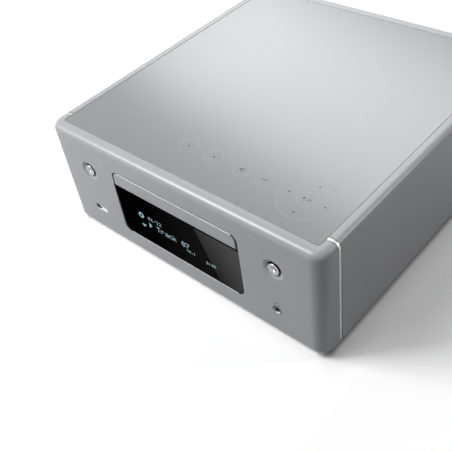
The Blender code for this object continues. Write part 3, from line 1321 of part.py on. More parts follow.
def line_jacks(skin):
    """Five phono sleeves in the moulded block that carries them behind the rear panel."""
    xs = [x for x, _ in LINE_JACKS]
    face = REAR_FRONT - FIT
    bm = bmesh.new()
    box(bm, min(xs) - 0.008, max(xs) + 0.008, REAR_FRONT - 0.014, face, BOARD_TOP + FIT,
        LINE_JACKS[1][1] + 0.008)
    jacks = put("line_jacks", bm, skin)
    sleeves = bmesh.new()
    front, back = face - 0.002, REAR_FACE + 0.0085
    for x, z in LINE_JACKS:
        lathe(sleeves, "Y", x, z, [(0, front), (LINE_JACK_RADIUS, front), (LINE_JACK_RADIUS, back - 0.0004),
                                   (LINE_JACK_RADIUS - 0.0004, back), (0.0017, back),
                                   (0.0017, front + 0.003), (0, front + 0.003)], 10)
    return join(jacks, sleeves)


def optical_input(skin):
    """The square optical socket with its closed shutter set back in it."""
    x0, x1, z0, z1 = OPTICAL
    bm = bmesh.new()
    box(bm, x0, x1, REAR_FRONT - 0.010, REAR_FACE + 0.0012, z0, z1)
    socket = put("optical_input", bm, skin)
    pocket = bmesh.new()
    box(pocket, x0 + 0.0018, x1 - 0.0018, REAR_FACE + 0.0004, REAR_FACE + 0.003, z0 + 0.0018, z1 - 0.0018)
    cut(socket, pocket)
    leg = bmesh.new()
    box(leg, x0, x1, REAR_FRONT - 0.010, REAR_FRONT - FIT, BOARD_TOP + FIT, z0 + 0.0005)
    return join(socket, leg)


def network_socket(skin):
    """The shielded data socket, a stepped pocket in a metal can."""
    x0, x1, z0, z1 = NETWORK
    bm = bmesh.new()
    box(bm, x0, x1, REAR_FRONT - 0.018, REAR_FACE + 0.0010, z0, z1)
    socket = put("network_socket", bm, skin)
    foot_print = bmesh.new()
    box(foot_print, x0, x1, REAR_FRONT - 0.018, REAR_FRONT - FIT, BOARD_TOP + FIT, z0 + 0.0005)
    join(socket, foot_print)
    pocket = bmesh.new()
    middle = (x0 + x1) / 2
    high = z1 - 0.0022
    outline = [(middle - 0.0059, high), (middle - 0.0059, high - 0.0068), (middle - 0.003, high - 0.0068),
               (middle - 0.003, high - 0.0086), (middle + 0.003, high - 0.0086),
               (middle + 0.003, high - 0.0068), (middle + 0.0059, high - 0.0068), (middle + 0.0059, high)]
    prism(pocket, outline, "Y", REAR_FRONT - 0.012, REAR_FACE + 0.003)
    return cut(socket, pocket)


def aerial_socket(skin):
    """The coaxial aerial socket on its metal can."""
    bm = bmesh.new()
    lathe(bm, "Y", AERIAL_X, AERIAL_Z,
          [(0, REAR_FRONT - 0.002), (AERIAL_RADIUS, REAR_FRONT - 0.002), (AERIAL_RADIUS, REAR_FACE + 0.0085),
           (AERIAL_RADIUS - 0.0008, REAR_FACE + 0.0085), (AERIAL_RADIUS - 0.0008, REAR_FACE + 0.001),
           (0.0012, REAR_FACE + 0.001), (0.0012, REAR_FACE + 0.0075), (0, REAR_FACE + 0.0075)], 12)
    socket = put("aerial_socket", bm, skin)
    can = bmesh.new()
    box(can, AERIAL_X - 0.014, AERIAL_X + 0.008, REAR_FRONT - 0.014, REAR_FRONT - FIT, BOARD_TOP + FIT,
        AERIAL_Z + 0.008)
    return join(socket, can)


# ---- The whole ------------------------------------------------------------------------------------------
def main():
    for obj in list(bpy.data.objects):
        bpy.data.objects.remove(obj, do_unlink=True)

    silver = material("silver_lacquer", (0.40, 0.41, 0.43), 0.42, 0.35)
    bright = material("bright_trim", (0.78, 0.78, 0.77), 0.18, 1.0)
    touch = material("touch_surface", (0.42, 0.42, 0.42), 0.30, 0.1)
    glass = material("dark_glass", (0.01, 0.01, 0.012), 0.05)
    lit = material("display", (0.02, 0.04, 0.05), 0.2)
    black = material("black_plastic", (0.02, 0.02, 0.022), 0.5)
    rubber = material("foot_rubber", (0.03, 0.03, 0.03), 0.8)
    steel = material("zinc_steel", (0.45, 0.46, 0.46), 0.38, 0.9)
    green = material("circuit_board", (0.03, 0.16, 0.07), 0.5)
    button = material("spun_aluminium", (0.75, 0.75, 0.76), 0.22, 1.0)
    ivory = material("ivory_gear", (0.62, 0.58, 0.47), 0.4)
    rear = material("rear_lacquer", (0.04, 0.04, 0.042), 0.55, 0.3)
    aluminium = material("raw_aluminium", (0.55, 0.56, 0.57), 0.4, 1.0)
    lens = material("pickup_body", (0.05, 0.05, 0.055), 0.35)

    front_bezel(silver)
    trim_band(bright)
    cabinet_cover(silver)
    top_panel(touch)
    touch_board(green)
    bottom_pan(steel)
    rear_panel(rear)
    for name, (x, y) in zip(("foot_left_front", "foot_left_back", "foot_right_front", "foot_right_back"),
                            foot_places()):
        foot(name, x, y, rubber)

    display_glass(glass)
    window_frame(black)
    display_module(lit)
    front_board(green)
    tact_switch("power_switch", -BUTTON_X, black)
    tact_switch("eject_switch", BUTTON_X, black)
    push_button("power_button", -BUTTON_X, button)
    push_button("eject_button", BUTTON_X, button)
    usb_socket(steel)
    headphone_ring(bright)
    headphone_jack(black)

    loader_chassis(black)
    loader_bracket("loader_bracket_left", -1, steel)
    loader_bracket("loader_bracket_right", 1, steel)
    clamp_bridge(black)
    loading_motor(steel)
    drive_belt(rubber)
    disc_tray(black)
    tray_door(silver)
    drive_gear(ivory)
    belt_pulley(ivory)
    motor_pulley(ivory)
    cam_slider(ivory)
    clamp_puck(black)

    pivot = bpy.data.objects.new("traverse_pivot", None)
    pivot.location = (0, PIVOT_Y, PIVOT_Z)
    bpy.context.collection.objects.link(pivot)
    traverse_frame(black, pivot)
    guide_rod("guide_rod_left", -ROD_OFFSET, steel, pivot)
    guide_rod("guide_rod_right", ROD_OFFSET, steel, pivot)
    spindle_motor(steel, pivot)
    turntable(black, pivot)
    pickup(lens, pivot)
    sled_gear(ivory, pivot)
    sled_motor(steel, pivot)
    pivot.rotation_euler.x = TILT

    capacitors(board("power_board", green))
    board("amplifier_board", green)
    network_module(board("main_board", green))
    transformer(black)
    heat_sink(aluminium)

    ac_inlet(black)
    terminal_base(black)
    for name, (x, z) in zip(("terminal_cap_1", "terminal_cap_2", "terminal_cap_3", "terminal_cap_4"),
                            terminal_places()):
        terminal_cap(name, x, z, black)
    line_jacks(steel)
    optical_input(black)
    network_socket(steel)
    aerial_socket(steel)


main()
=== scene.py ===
import math

import bmesh
import bpy
from mathutils import Matrix, Vector


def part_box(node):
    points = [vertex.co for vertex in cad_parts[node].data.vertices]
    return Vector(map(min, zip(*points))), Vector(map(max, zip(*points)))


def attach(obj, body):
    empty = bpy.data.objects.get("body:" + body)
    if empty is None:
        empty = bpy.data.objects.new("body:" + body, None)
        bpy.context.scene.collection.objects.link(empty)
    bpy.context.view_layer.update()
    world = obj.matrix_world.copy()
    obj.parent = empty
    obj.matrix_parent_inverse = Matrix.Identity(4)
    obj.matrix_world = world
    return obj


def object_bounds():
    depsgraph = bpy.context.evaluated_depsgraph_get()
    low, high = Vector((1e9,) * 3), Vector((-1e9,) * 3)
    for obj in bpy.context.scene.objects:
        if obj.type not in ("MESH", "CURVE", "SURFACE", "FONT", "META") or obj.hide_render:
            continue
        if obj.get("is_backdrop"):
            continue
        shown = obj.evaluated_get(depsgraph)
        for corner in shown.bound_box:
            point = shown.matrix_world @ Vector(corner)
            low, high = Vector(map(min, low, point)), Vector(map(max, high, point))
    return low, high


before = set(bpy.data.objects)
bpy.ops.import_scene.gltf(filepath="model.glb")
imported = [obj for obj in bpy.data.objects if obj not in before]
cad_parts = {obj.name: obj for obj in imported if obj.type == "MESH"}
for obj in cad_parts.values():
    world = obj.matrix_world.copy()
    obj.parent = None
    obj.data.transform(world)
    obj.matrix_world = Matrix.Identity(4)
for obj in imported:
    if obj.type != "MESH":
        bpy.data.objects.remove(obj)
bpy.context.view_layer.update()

# ---- Bottom pan and loader brackets --------------------------------------------------------------
# The pan is folded from zinc-plated steel sheet with a lip on both sides. It carries every other
# piece: pressed pillars hold the boards, and two steel brackets hold the disc loader.


class Tap:
    """An output of a material's node. Maths written with taps adds the Math nodes that do it."""

    def __init__(self, tree, socket):
        self.tree = tree
        self.socket = socket

    def node(self, kind, settings=None, values=None, out=0):
        """Adds a node, sets it up, then fills its sockets with values or links them to taps."""
        made = self.tree.nodes.new("ShaderNode" + kind)
        for key, value in (settings or {}).items():
            setattr(made, key, value)
        for key, value in (values or {}).items():
            if isinstance(value, Tap):
                self.tree.links.new(value.socket, made.inputs[key])
            else:
                made.inputs[key].default_value = value
        return Tap(self.tree, made.outputs[out])

    def math(self, operation, *values):
        """A Math node on this tap and the values."""
        return self.node("Math", {"operation": operation}, dict(enumerate((self, *values))))

    def __add__(self, other):
        return self.math("ADD", other)

    def __sub__(self, other):
        return self.math("SUBTRACT", other)

    def __rsub__(self, other):
        return self.math("MULTIPLY_ADD", -1, other)

    def __mul__(self, other):
        return self.math("MULTIPLY", other)

    __radd__ = __add__
    __rmul__ = __mul__

    def __truediv__(self, other):
        return self.math("DIVIDE", other)

    def __pow__(self, other):
        return self.math("POWER", other)

    def __abs__(self):
        return self.math("ABSOLUTE")

    def __gt__(self, other):
        return self.math("GREATER_THAN", other)

    def __lt__(self, other):
        return self.math("LESS_THAN", other)

    def axis(self, name):
        """The X, Y or Z of a place."""
        return self.node("SeparateXYZ", values={"Vector": self}, out=name)

    def either(self, *others):
        """The largest of some taps: 1 where one of the masks is 1."""
        most = self
        for other in others:
            most = most.math("MAXIMUM", other)
        return most

    def ramp(self, low, high):
        """Goes evenly from 0 to 1 while the tap goes from low to high."""
        return self.node("MapRange", values={"Value": self, "From Min": low, "From Max": high})

    def rise(self, low, high):
        """Goes gently from 0 to 1 while the tap goes from low to high."""
        return self.node("MapRange", {"interpolation_type": "SMOOTHSTEP"},
                         {"Value": self, "From Min": low, "From Max": high})

    def within(self, reach, soft):
        """1 where the tap is nearer to 0 than reach, with an edge that is soft wide."""
        return self.node("MapRange", {"interpolation_type": "SMOOTHSTEP"},
                         {"Value": abs(self), "From Min": reach - soft / 2,
                          "From Max": reach + soft / 2, "To Min": 1, "To Max": 0})


def coat(name, colour, roughness, metallic=0, **uniform):
    """A material with one Principled shader. Returns it, its shader and its place in metres."""
    made = bpy.data.materials.new(name)
    made.use_nodes = True
    shader = made.node_tree.nodes["Principled BSDF"]
    shader.inputs["Base Color"].default_value = (*colour, 1)
    shader.inputs["Roughness"].default_value = roughness
    shader.inputs["Metallic"].default_value = metallic
    for key, value in uniform.items():
        shader.inputs[key.replace("_", " ")].default_value = value
    start = Tap(made.node_tree, None)
    return made, shader, start.node("TexCoord", out="Object")


def grain(place, scale, detail=2, stretch=(1, 1, 1)):
    """Noise from 0 to 1 with about this many bumps to a metre, drawn out by stretch."""
    spread = place.node("Mapping", values={"Vector": place, "Scale": stretch})
    return spread.node("TexNoise", values={"Vector": spread, "Scale": scale, "Detail": detail})


def tint(amount, first, second):
    """A colour between two by a tap from 0 to 1; each of the two is plain or a tap itself."""
    colour_a, colour_b, colour_out = 6, 7, 2  # the Mix node's sockets for colours
    first, second = [shade if isinstance(shade, Tap) else (*shade, 1) for shade in (first, second)]
    return amount.node("Mix", {"data_type": "RGBA"}, {"Factor": amount, colour_a: first, colour_b: second},
                       out=colour_out)


def bump(height, depth, strength=1):
    """A bump whose height tap from 0 to 1 stands for this depth in metres."""
    return height.node("Bump", values={"Height": height, "Distance": depth, "Strength": strength})


def feed(shader, **taps):
    """Links what changes over the surface to the shader's sockets."""
    for key, tap in taps.items():
        tap.tree.links.new(tap.socket, shader.inputs[key.replace("_", " ")])


# The mesh of a solid comes split along its edges: it is welded, and edges over the crease stay sharp.
weld, crease = 0.000002, math.radians(32)
joined = bpy.data.node_groups.new("joined_and_smooth", "GeometryNodeTree")
for way in ("INPUT", "OUTPUT"):
    joined.interface.new_socket("Geometry", in_out=way, socket_type="NodeSocketGeometry")
start = joined.nodes.new("NodeGroupInput").outputs[0]
for kind, values in (("MergeByDistance", {"Distance": weld}),
                     ("RemoveAttribute", {"Name": "custom_normal"}),
                     ("SetShadeSmooth", {"Shade Smooth": True}),
                     ("SetShadeSmooth", {"Shade Smooth": False})):
    step = joined.nodes.new("GeometryNode" + kind)
    for key, value in values.items():
        step.inputs[key].default_value = value
    joined.links.new(start, step.inputs[0])
    start = step.outputs[0]
step.domain = "EDGE"
angle = joined.nodes.new("GeometryNodeInputMeshEdgeAngle")
sharp = joined.nodes.new("FunctionNodeCompare")
sharp.inputs[1].default_value = crease
joined.links.new(angle.outputs[0], sharp.inputs[0])
joined.links.new(sharp.outputs[0], step.inputs["Selection"])
joined.links.new(start, joined.nodes.new("NodeGroupOutput").inputs[0])


def smooth(obj, edge=0, steps=2):
    """Shades the round faces of a piece as round, and rounds its sharp edges by this much."""
    obj.modifiers.new("joined", "NODES").node_group = joined
    if edge:
        rounded = obj.modifiers.new("rounded", "BEVEL")
        rounded.width = edge
        rounded.segments = steps
        rounded.angle_limit = crease
        rounded.use_clamp_overlap = False
        rounded.harden_normals = True
    weighted = obj.modifiers.new("weighted", "WEIGHTED_NORMAL")
    weighted.keep_sharp = True


def dress(material, *nodes, edge=0, steps=2):
    """Puts a material on CAD nodes and smooths them."""
    for node in nodes:
        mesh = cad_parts[node].data
        mesh.materials.clear()
        mesh.materials.append(material)
        smooth(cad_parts[node], edge, steps)


zinc, shader, place = coat("zinc_steel", (0.44, 0.45, 0.45), 0.38, 0.9)
spangle = place.node("TexVoronoi", values={"Vector": place, "Scale": 260}, out="Color")
flake = spangle.node("SeparateColor", values={"Color": spangle})
rolled = grain(place, 900, 3, (1, 0.08, 1))
feed(shader, Base_Color=tint(flake * 0.6 + rolled * 0.4, (0.36, 0.37, 0.37), (0.53, 0.54, 0.53)),
     Roughness=0.30 + flake * 0.16, Normal=bump(rolled, 0.00002))
dress(zinc, "bottom_pan", "loader_bracket_left", "loader_bracket_right")

# ---- Feet ----------------------------------------------------------------------------------------
# Four turned feet of black rubber under the corners. Each sits on the pan with a spigot through it,
# and a cross-head screw in its hollow holds it.
rubber, shader, place = coat("foot_rubber", (0.025, 0.025, 0.026), 0.75)
fine = grain(place, 2600, 3)
feed(shader, Base_Color=tint(fine, (0.016, 0.016, 0.017), (0.036, 0.036, 0.037)),
     Roughness=0.66 + fine * 0.16, Normal=bump(fine, 0.00005))
feet = ["foot_left_front", "foot_left_back", "foot_right_front", "foot_right_back"]
dress(rubber, *feet, edge=0.00015, steps=1)

plated, shader, place = coat("plated_screw", (0.5, 0.5, 0.5), 0.3, 1)
worn = grain(place, 5000, 2)
feed(shader, Base_Color=tint(worn, (0.42, 0.42, 0.43), (0.60, 0.60, 0.60)), Roughness=0.24 + worn * 0.2)


def piece(name, bm, material, body):
    """Makes a piece of the shape drawn so far, which rides on a body."""
    bmesh.ops.recalc_face_normals(bm, faces=bm.faces)
    mesh = bpy.data.meshes.new(name)
    bm.to_mesh(mesh)
    bm.free()
    mesh.materials.append(material)
    obj = bpy.data.objects.new(name, mesh)
    bpy.context.collection.objects.link(obj)
    smooth(obj)
    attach(obj, body)


def turned(bm, profile, steps, seat):
    """Adds a body turned about its seat's z: a line of (radius, height) that ends at radius 0."""
    rings = []
    for radius, height in profile:
        count = steps if radius > 0 else 1
        turns = [2 * math.pi * n / count for n in range(count)]
        rings.append([bm.verts.new(seat @ Vector((radius * math.cos(a), radius * math.sin(a), height)))
                      for a in turns])
    for first, second in zip(rings, rings[1:]):
        for n in range(steps):
            m = (n + 1) % steps
            corners = [first[n % len(first)], first[m % len(first)], second[m % len(second)],
                       second[n % len(second)]]
            bm.faces.new(list(dict.fromkeys(corners)))


def screws(name, material, body, radius, places, facing):
    """Domed screw heads with a cross-shaped recess, seated at these places and facing one way."""
    bm = bmesh.new()
    half, reach, deep, crown = radius * 0.13, radius * 0.55, radius * 0.45, radius * 0.66
    cross = [(half, half), (half, reach), (-half, reach), (-half, half), (-reach, half), (-reach, -half),
             (-half, -half), (-half, -reach), (half, -reach), (half, -half), (reach, -half), (reach, half)]
    turn = Vector(facing).to_track_quat("Z", "Y").to_matrix().to_4x4()
    for place in places:
        seat = Matrix.Translation(place) @ turn
        rings = []
        for scale, height in ((1, 0), (1, 0.25), (0.9, 0.5), (0.7, 0.62)):
            points = []
            for x, y in cross:
                angle = math.atan2(y, x)
                points.append((math.cos(angle) * radius * scale, math.sin(angle) * radius * scale,
                               height * radius))
            rings.append(points)
        rings += [[(x, y, height) for x, y in cross] for height in (crown, crown - deep)]
        made = [[bm.verts.new(seat @ Vector(p)) for p in ring] for ring in rings]
        for first, second in zip(made, made[1:]):
            for n in range(len(cross)):
                m = (n + 1) % len(cross)
                bm.faces.new((first[n], first[m], second[m], second[n]))
        bm.faces.new(made[-1])
        bm.faces.new(reversed(made[0]))
    piece(name, bm, material, body)


seats, set_in, screw_radius = [], 0.002, 0.0032
for foot in feet:
    low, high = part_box(foot)
    seats.append(((low.x + high.x) / 2, (low.y + high.y) / 2, low.z + set_in))
screws("foot_screws", plated, "cabinet", screw_radius, seats, (0, 0, -1))

# ---- Circuit boards ------------------------------------------------------------------------------
# Five boards of glass-fibre laminate under green solder mask, with copper tracks that show through.
# The power, amplifier and main boards stand on the pan's pillars with a screw in every corner. The
# other two lie behind the front and under the touch panel.

# What stands on a board, where it is more than tracks: its sides' and top's colours, 1 for metal sides.
boards = {"power_board": ((0.010, 0.014, 0.045), (0.42, 0.42, 0.41), 0), "amplifier_board": None,
          "main_board": ((0.52, 0.52, 0.50), (0.60, 0.60, 0.58), 1), "touch_board": None,
          "front_board": None}
board_top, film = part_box("transformer")[0].z, 0.0001
for board, raised in boards.items():
    laminate, shader, place = coat(board, (0.02, 0.12, 0.05), 0.35, 0, Coat_Weight=0.25)
    track = place.node("TexVoronoi", {"distance": "MANHATTAN"}, {"Vector": place, "Scale": 330})
    line = (track - 0.42).within(0.07, 0.03)
    pad = place.node("TexVoronoi", values={"Vector": place, "Scale": 520}).within(0.13, 0.04)
    mask = tint(line, (0.012, 0.085, 0.035), (0.035, 0.19, 0.075))
    colour = tint(pad, mask, (0.62, 0.55, 0.36))
    metal = pad * 0.9
    if raised:
        side, top, plated_side = raised
        up = place.node("NewGeometry", out="Normal").axis("Z") > 0.7
        above = place.axis("Z") > board_top + film
        colour = tint(above, colour, tint(up, side, top))
        metal = metal * (1 - above) + above * up.either(plated_side) * 0.9
    feed(shader, Base_Color=colour, Metallic=metal, Roughness=0.42 - pad * 0.16,
         Normal=bump(line + pad, 0.00003))
    dress(laminate, board)

corners, inset, screw_radius = [], 0.004, 0.0024
for board in ("power_board", "amplifier_board", "main_board"):
    low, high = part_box(board)
    corners += [(x, y, board_top) for x in (low.x + inset, high.x - inset)
                for y in (low.y + inset, high.y - inset)]
screws("board_screws", plated, "cabinet", screw_radius, corners, (0, 0, 1))

wound, shader, place = coat("wound_core", (0.04, 0.03, 0.02), 0.45)
low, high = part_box("transformer")
half_core = 0.0121
tape = abs(place.axis("X") - (low.x + high.x) / 2) > half_core
sheets = place.node("TexWave", {"bands_direction": "Z"}, {"Vector": place, "Scale": 420, "Distortion": 0.6})
steel = tint(sheets, (0.060, 0.062, 0.066), (0.16, 0.16, 0.17))
feed(shader, Base_Color=tint(tape, steel, (0.66, 0.42, 0.07)), Metallic=0.6 - tape * 0.6,
     Normal=bump(sheets, 0.0001))
dress(wound, "transformer", edge=0.0003)

extruded, shader, place = coat("raw_aluminium", (0.55, 0.56, 0.57), 0.36, 1)
drawn = grain(place, 1500, 3, (1, 1, 0.03))
feed(shader, Base_Color=tint(drawn, (0.48, 0.49, 0.50), (0.64, 0.65, 0.66)), Roughness=0.28 + drawn * 0.2,
     Normal=bump(drawn, 0.00003))
dress(extruded, "heat_sink", edge=0.0002)

# ---- Disc loader: chassis, clamp and drive -------------------------------------------------------
# The chassis and the clamp's bridge are moulded in black plastic with a fine eroded grain, the gears
# and the cam slider in ivory. Machine screws hold the chassis by its lugs to the brackets. A small
# motor drives the tray through a belt, a pulley with its pinion, and one tall gear.
black, shader, place = coat("black_plastic", (0.022, 0.022, 0.024), 0.5)
eroded = grain(place, 3800, 4)
cloud = grain(place, 60, 2)
feed(shader, Base_Color=tint(cloud, (0.017, 0.017, 0.019), (0.028, 0.028, 0.030)),
     Roughness=0.42 + eroded * 0.2, Normal=bump(eroded, 0.00003, 0.7))
dress(black, "loader_chassis", "clamp_bridge", "clamp_puck", "traverse_frame", edge=0.0002, steps=1)
dress(rubber, "drive_belt", edge=0.00015, steps=1)

ivory, shader, place = coat("ivory_gear", (0.62, 0.58, 0.47), 0.4, 0, Subsurface_Weight=0.15)
shader.inputs["Subsurface Radius"].default_value = (0.001, 0.0008, 0.0005)
flow = grain(place, 240, 3)
feed(shader, Base_Color=tint(flow, (0.58, 0.53, 0.41), (0.70, 0.66, 0.55)), Roughness=0.34 + flow * 0.12)
dress(ivory, "drive_gear", "belt_pulley", "motor_pulley", "cam_slider", "sled_gear", edge=0.0001, steps=1)

turned_steel, shader, place = coat("machined_steel", (0.56, 0.56, 0.57), 0.28, 1)
lathe = place.node("TexWave", {"bands_direction": "Z"}, {"Vector": place, "Scale": 900, "Distortion": 1.5})
feed(shader, Roughness=0.2 + lathe * 0.16, Base_Color=tint(lathe, (0.50, 0.50, 0.51), (0.66, 0.66, 0.67)))
dress(turned_steel, "loading_motor", "guide_rod_left", "guide_rod_right", "spindle_motor", "sled_motor",
      edge=0.0002, steps=1)

low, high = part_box("loader_chassis")
lug_x, lug_z = high.x - 0.0045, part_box("loader_bracket_left")[1].z + 0.0033
front_lug, back_lug = low.y + 0.0215, high.y - 0.016
screw_radius = 0.0026
lugs = [(side * lug_x, y, lug_z) for side in (-1, 1) for y in (front_lug, back_lug)]
screws("loader_screws", plated, "cabinet", screw_radius, lugs, (0, 0, 1))

# ---- Disc tray -----------------------------------------------------------------------------------
# One black moulding with a recess for each size of disc and a toothed rack below. It is matt where
# the disc lies and smoother on the rim.
tray_skin, shader, place = coat("tray_plastic", (0.02, 0.02, 0.022), 0.45)
rim = (place.axis("Z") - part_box("disc_tray")[1].z).within(0.0004, 0.0002)
sand = grain(place, 3000, 4)
feed(shader, Base_Color=tint(rim, (0.020, 0.020, 0.022), (0.030, 0.030, 0.032)),
     Roughness=0.62 - rim * 0.2 + sand * 0.12, Normal=bump(sand, 0.00004))
dress(tray_skin, "disc_tray", edge=0.0003)

# ---- Traverse: turntable and pickup --------------------------------------------------------------
# The turntable is a black hub with a rubber seat round it. The pickup's carriage is dark cast
# metal that slides on two ground rods, with a coated glass lens on top.
seat_skin, shader, place = coat("turntable", (0.02, 0.02, 0.02), 0.6)
low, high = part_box("turntable")
out = place.node("VectorMath", {"operation": "DISTANCE"}, {0: place, 1: (low + high) / 2}, out="Value")
seat_middle, half_seat = 0.0118, 0.0028
band = (out - seat_middle).within(half_seat, 0.0004)
pinch = grain(place, 2200, 2)
feed(shader, Base_Color=tint(band, (0.020, 0.020, 0.021), (0.075, 0.075, 0.078)),
     Roughness=0.38 + band * 0.4, Normal=bump(pinch, 0.00004))
dress(seat_skin, "turntable", edge=0.0001, steps=1)

cast, shader, place = coat("pickup_body", (0.05, 0.05, 0.055), 0.42, 0.7)
pitted = grain(place, 1400, 4)
feed(shader, Base_Color=tint(pitted, (0.035, 0.035, 0.040), (0.085, 0.085, 0.095)),
     Roughness=0.34 + pitted * 0.2, Normal=bump(pitted, 0.00006))
dress(cast, "pickup", edge=0.0001, steps=1)

lens_glass, shader, place = coat("coated_lens", (0.06, 0.10, 0.22), 0.03, 0.3, Coat_Weight=1)
sheen = place.node("LayerWeight", values={"Blend": 0.35}, out="Facing")
feed(shader, Base_Color=tint(sheen, (0.04, 0.07, 0.20), (0.30, 0.10, 0.42)))
lens_radius, lens_rise, lens_drop, lens_y = 0.0021, 0.0011, 0.0021, -0.0605
lens_place = (0, lens_y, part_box("pickup")[1].z - lens_drop)
slope = Matrix.Rotation(math.radians(4.785), 4, "X")  # at rest the traverse is lowered
bm = bmesh.new()
dome = [(lens_radius * math.cos(a), lens_rise * math.sin(a)) for a in (0, 0.4, 0.8, 1.2)]
turned(bm, dome + [(0, lens_rise)], 24, Matrix.Translation(lens_place) @ slope)
piece("pickup_lens", bm, lens_glass, "pickup")

# ---- Rear panel and sockets ----------------------------------------------------------------------
# A steel sheet under black textured powder coat, punched for its vents and sockets and held by
# black screws round its edge. The marks beside the sockets are printed in white.
powder, shader, place = coat("rear_lacquer", (0.03, 0.03, 0.032), 0.5, 0.1)
crumb = grain(place, 1600, 3)
feed(shader, Base_Color=tint(crumb, (0.022, 0.022, 0.024), (0.042, 0.042, 0.045)),
     Roughness=0.46 + crumb * 0.22, Normal=bump(crumb, 0.00012))
dress(powder, "rear_panel")

blackened, shader, place = coat("blackened_screw", (0.03, 0.03, 0.03), 0.42, 0.6)
feed(shader, Roughness=0.36 + grain(place, 5000, 2) * 0.2)
low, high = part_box("line_jacks")
step_x, step_z, block_edge = 0.018, 0.016, 0.008  # between sleeves, and from one to the block's edge
first_x, first_z = low.x + block_edge, high.z - block_edge - step_z
low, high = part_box("rear_panel")
back, side_edge, middle_row, screw_radius = high.y, 0.0082, 0.055, 0.0028
columns = (low.x + side_edge, -0.060, 0.030, high.x - side_edge)
rows = (low.z + 0.0062, high.z - 0.0067)
screw_places = [(x, back, z) for z in rows for x in columns]
screw_places += [(x, back, middle_row) for x in (columns[0], columns[-1])]
screw_places += [(first_x + 2 * step_x, back, first_z + 0.0004)]  # where the block has no sleeve
screws("rear_screws", blackened, "cabinet", screw_radius, screw_places, (0, 1, 0))

socket_skin, shader, place = coat("socket_plastic", (0.018, 0.018, 0.019), 0.4)
satin = grain(place, 3000, 3)
feed(shader, Roughness=0.3 + satin * 0.18, Normal=bump(satin, 0.00002))
dress(socket_skin, "terminal_base", edge=0.0002)


def span(tap, low, high):
    """1 where the tap lies between two values."""
    return (tap > low) * (tap < high)


def split(place):
    """The x, y and z of a place."""
    return [place.axis(name) for name in "XYZ"]


def apart(across, above):
    """How far a place is from an axis, by its two distances."""
    return (across ** 2 + above ** 2).math("SQRT")


inlet_skin, shader, place = coat("mains_inlet", (0.02, 0.02, 0.02), 0.42)
x, y, z = split(place)
low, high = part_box("ac_inlet")
middle = (low + high) / 2
blade_x, half_blade, half_height, pocket_floor, blade_end = 0.007, 0.0011, 0.0021, 0.0016, 0.006
blade = (abs(x - middle.x) - blade_x).within(half_blade, 0.0001) * (abs(z - middle.z) < half_height)
blade = blade * span(y, low.y + pocket_floor, high.y - blade_end)
feed(shader, Base_Color=tint(blade, (0.02, 0.02, 0.021), (0.72, 0.62, 0.40)), Metallic=blade,
     Roughness=0.42 - blade * 0.17, Normal=bump(grain(place, 3000, 3), 0.00002))
dress(inlet_skin, "ac_inlet", edge=0.0002)

red, dark = (0.42, 0.012, 0.014), (0.016, 0.016, 0.017)
for n, colour in enumerate((red, red, dark, dark), 1):
    cap = f"terminal_cap_{n}"
    cap_skin, shader, place = coat(cap, colour, 0.28, 0, Coat_Weight=0.3)
    swirl = grain(place, 700, 3)
    feed(shader, Base_Color=tint(swirl, [c * 0.85 for c in colour], [c * 1.2 for c in colour]),
         Roughness=0.24 + swirl * 0.14)
    dress(cap_skin, cap, edge=0.0002)

nickel, shader, place = coat("nickel_sleeve", (0.62, 0.60, 0.56), 0.2, 1)
x, y, z = split(place)
insulator_radius = 0.0031
across = (x - (first_x - step_x / 2)).math("MODULO", step_x) - step_x / 2
above = (z - (first_z - step_z / 2)).math("MODULO", step_z) - step_z / 2
insulator = apart(across, above) < insulator_radius
red_or_white = tint(z > first_z + step_z / 2, (0.40, 0.015, 0.015), (0.72, 0.72, 0.70))
sleeve = tint(insulator, (0.62, 0.60, 0.56), red_or_white)
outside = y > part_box("rear_panel")[0].y
feed(shader, Base_Color=tint(outside, (0.018, 0.018, 0.019), sleeve), Metallic=outside * (1 - insulator),
     Roughness=0.36 - outside * 0.18 + insulator * 0.2 + grain(place, 2000, 2) * 0.06)
dress(nickel, "line_jacks", edge=0.0002)

can, shader, place = coat("socket_can", (0.58, 0.58, 0.57), 0.28, 1)
x, y, z = split(place)
low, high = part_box("network_socket")
wall = 0.0012
hollow = (span(x, low.x + wall, high.x - wall) * span(z, low.z + wall, high.z - wall)
          * span(y, low.y + 0.002, high.y - 0.0003))
feed(shader, Base_Color=tint(hollow, (0.58, 0.58, 0.57), (0.02, 0.02, 0.02)), Metallic=1 - hollow,
     Roughness=0.24 + hollow * 0.25 + grain(place, 1800, 2) * 0.08)
dress(can, "network_socket", "aerial_socket", edge=0.0001, steps=1)

shutter, shader, place = coat("optical_shutter", (0.02, 0.02, 0.02), 0.35)
x, y, z = split(place)
low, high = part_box("optical_input")
wall = 0.0019
door = (y < high.y - 0.0002) * span(x, low.x + wall, high.x - wall)
feed(shader, Base_Color=tint(door, (0.020, 0.020, 0.021), (0.10, 0.10, 0.105)),
     Roughness=0.30 + grain(place, 2500, 2) * 0.15)
dress(shutter, "optical_input", edge=0.0002)

gold, shader, place = coat("gold_contact", (0.83, 0.62, 0.25), 0.25, 1)
feed(shader, Roughness=0.2 + grain(place, 4000, 2) * 0.15)
low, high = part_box("network_socket")
pin_step, half_pin, pin_height = 0.00102, 0.00022, 0.0003
outline = ((-half_pin, 0), (half_pin, 0), (half_pin, pin_height), (-half_pin, pin_height))
path = [(high.y - 0.002, high.z - 0.0026), (high.y - 0.0075, high.z - 0.0052)]
bm = bmesh.new()
for n in range(8):
    x = (low.x + high.x) / 2 + (n - 3.5) * pin_step
    ends = [[bm.verts.new((x + across, y, z + up)) for across, up in outline] for y, z in path]
    for k in range(4):
        m = (k + 1) % 4
        bm.faces.new((ends[0][k], ends[0][m], ends[1][m], ends[1][k]))
    bm.faces.new(ends[0])
    bm.faces.new(reversed(ends[1]))
piece("network_contacts", bm, gold, "cabinet")

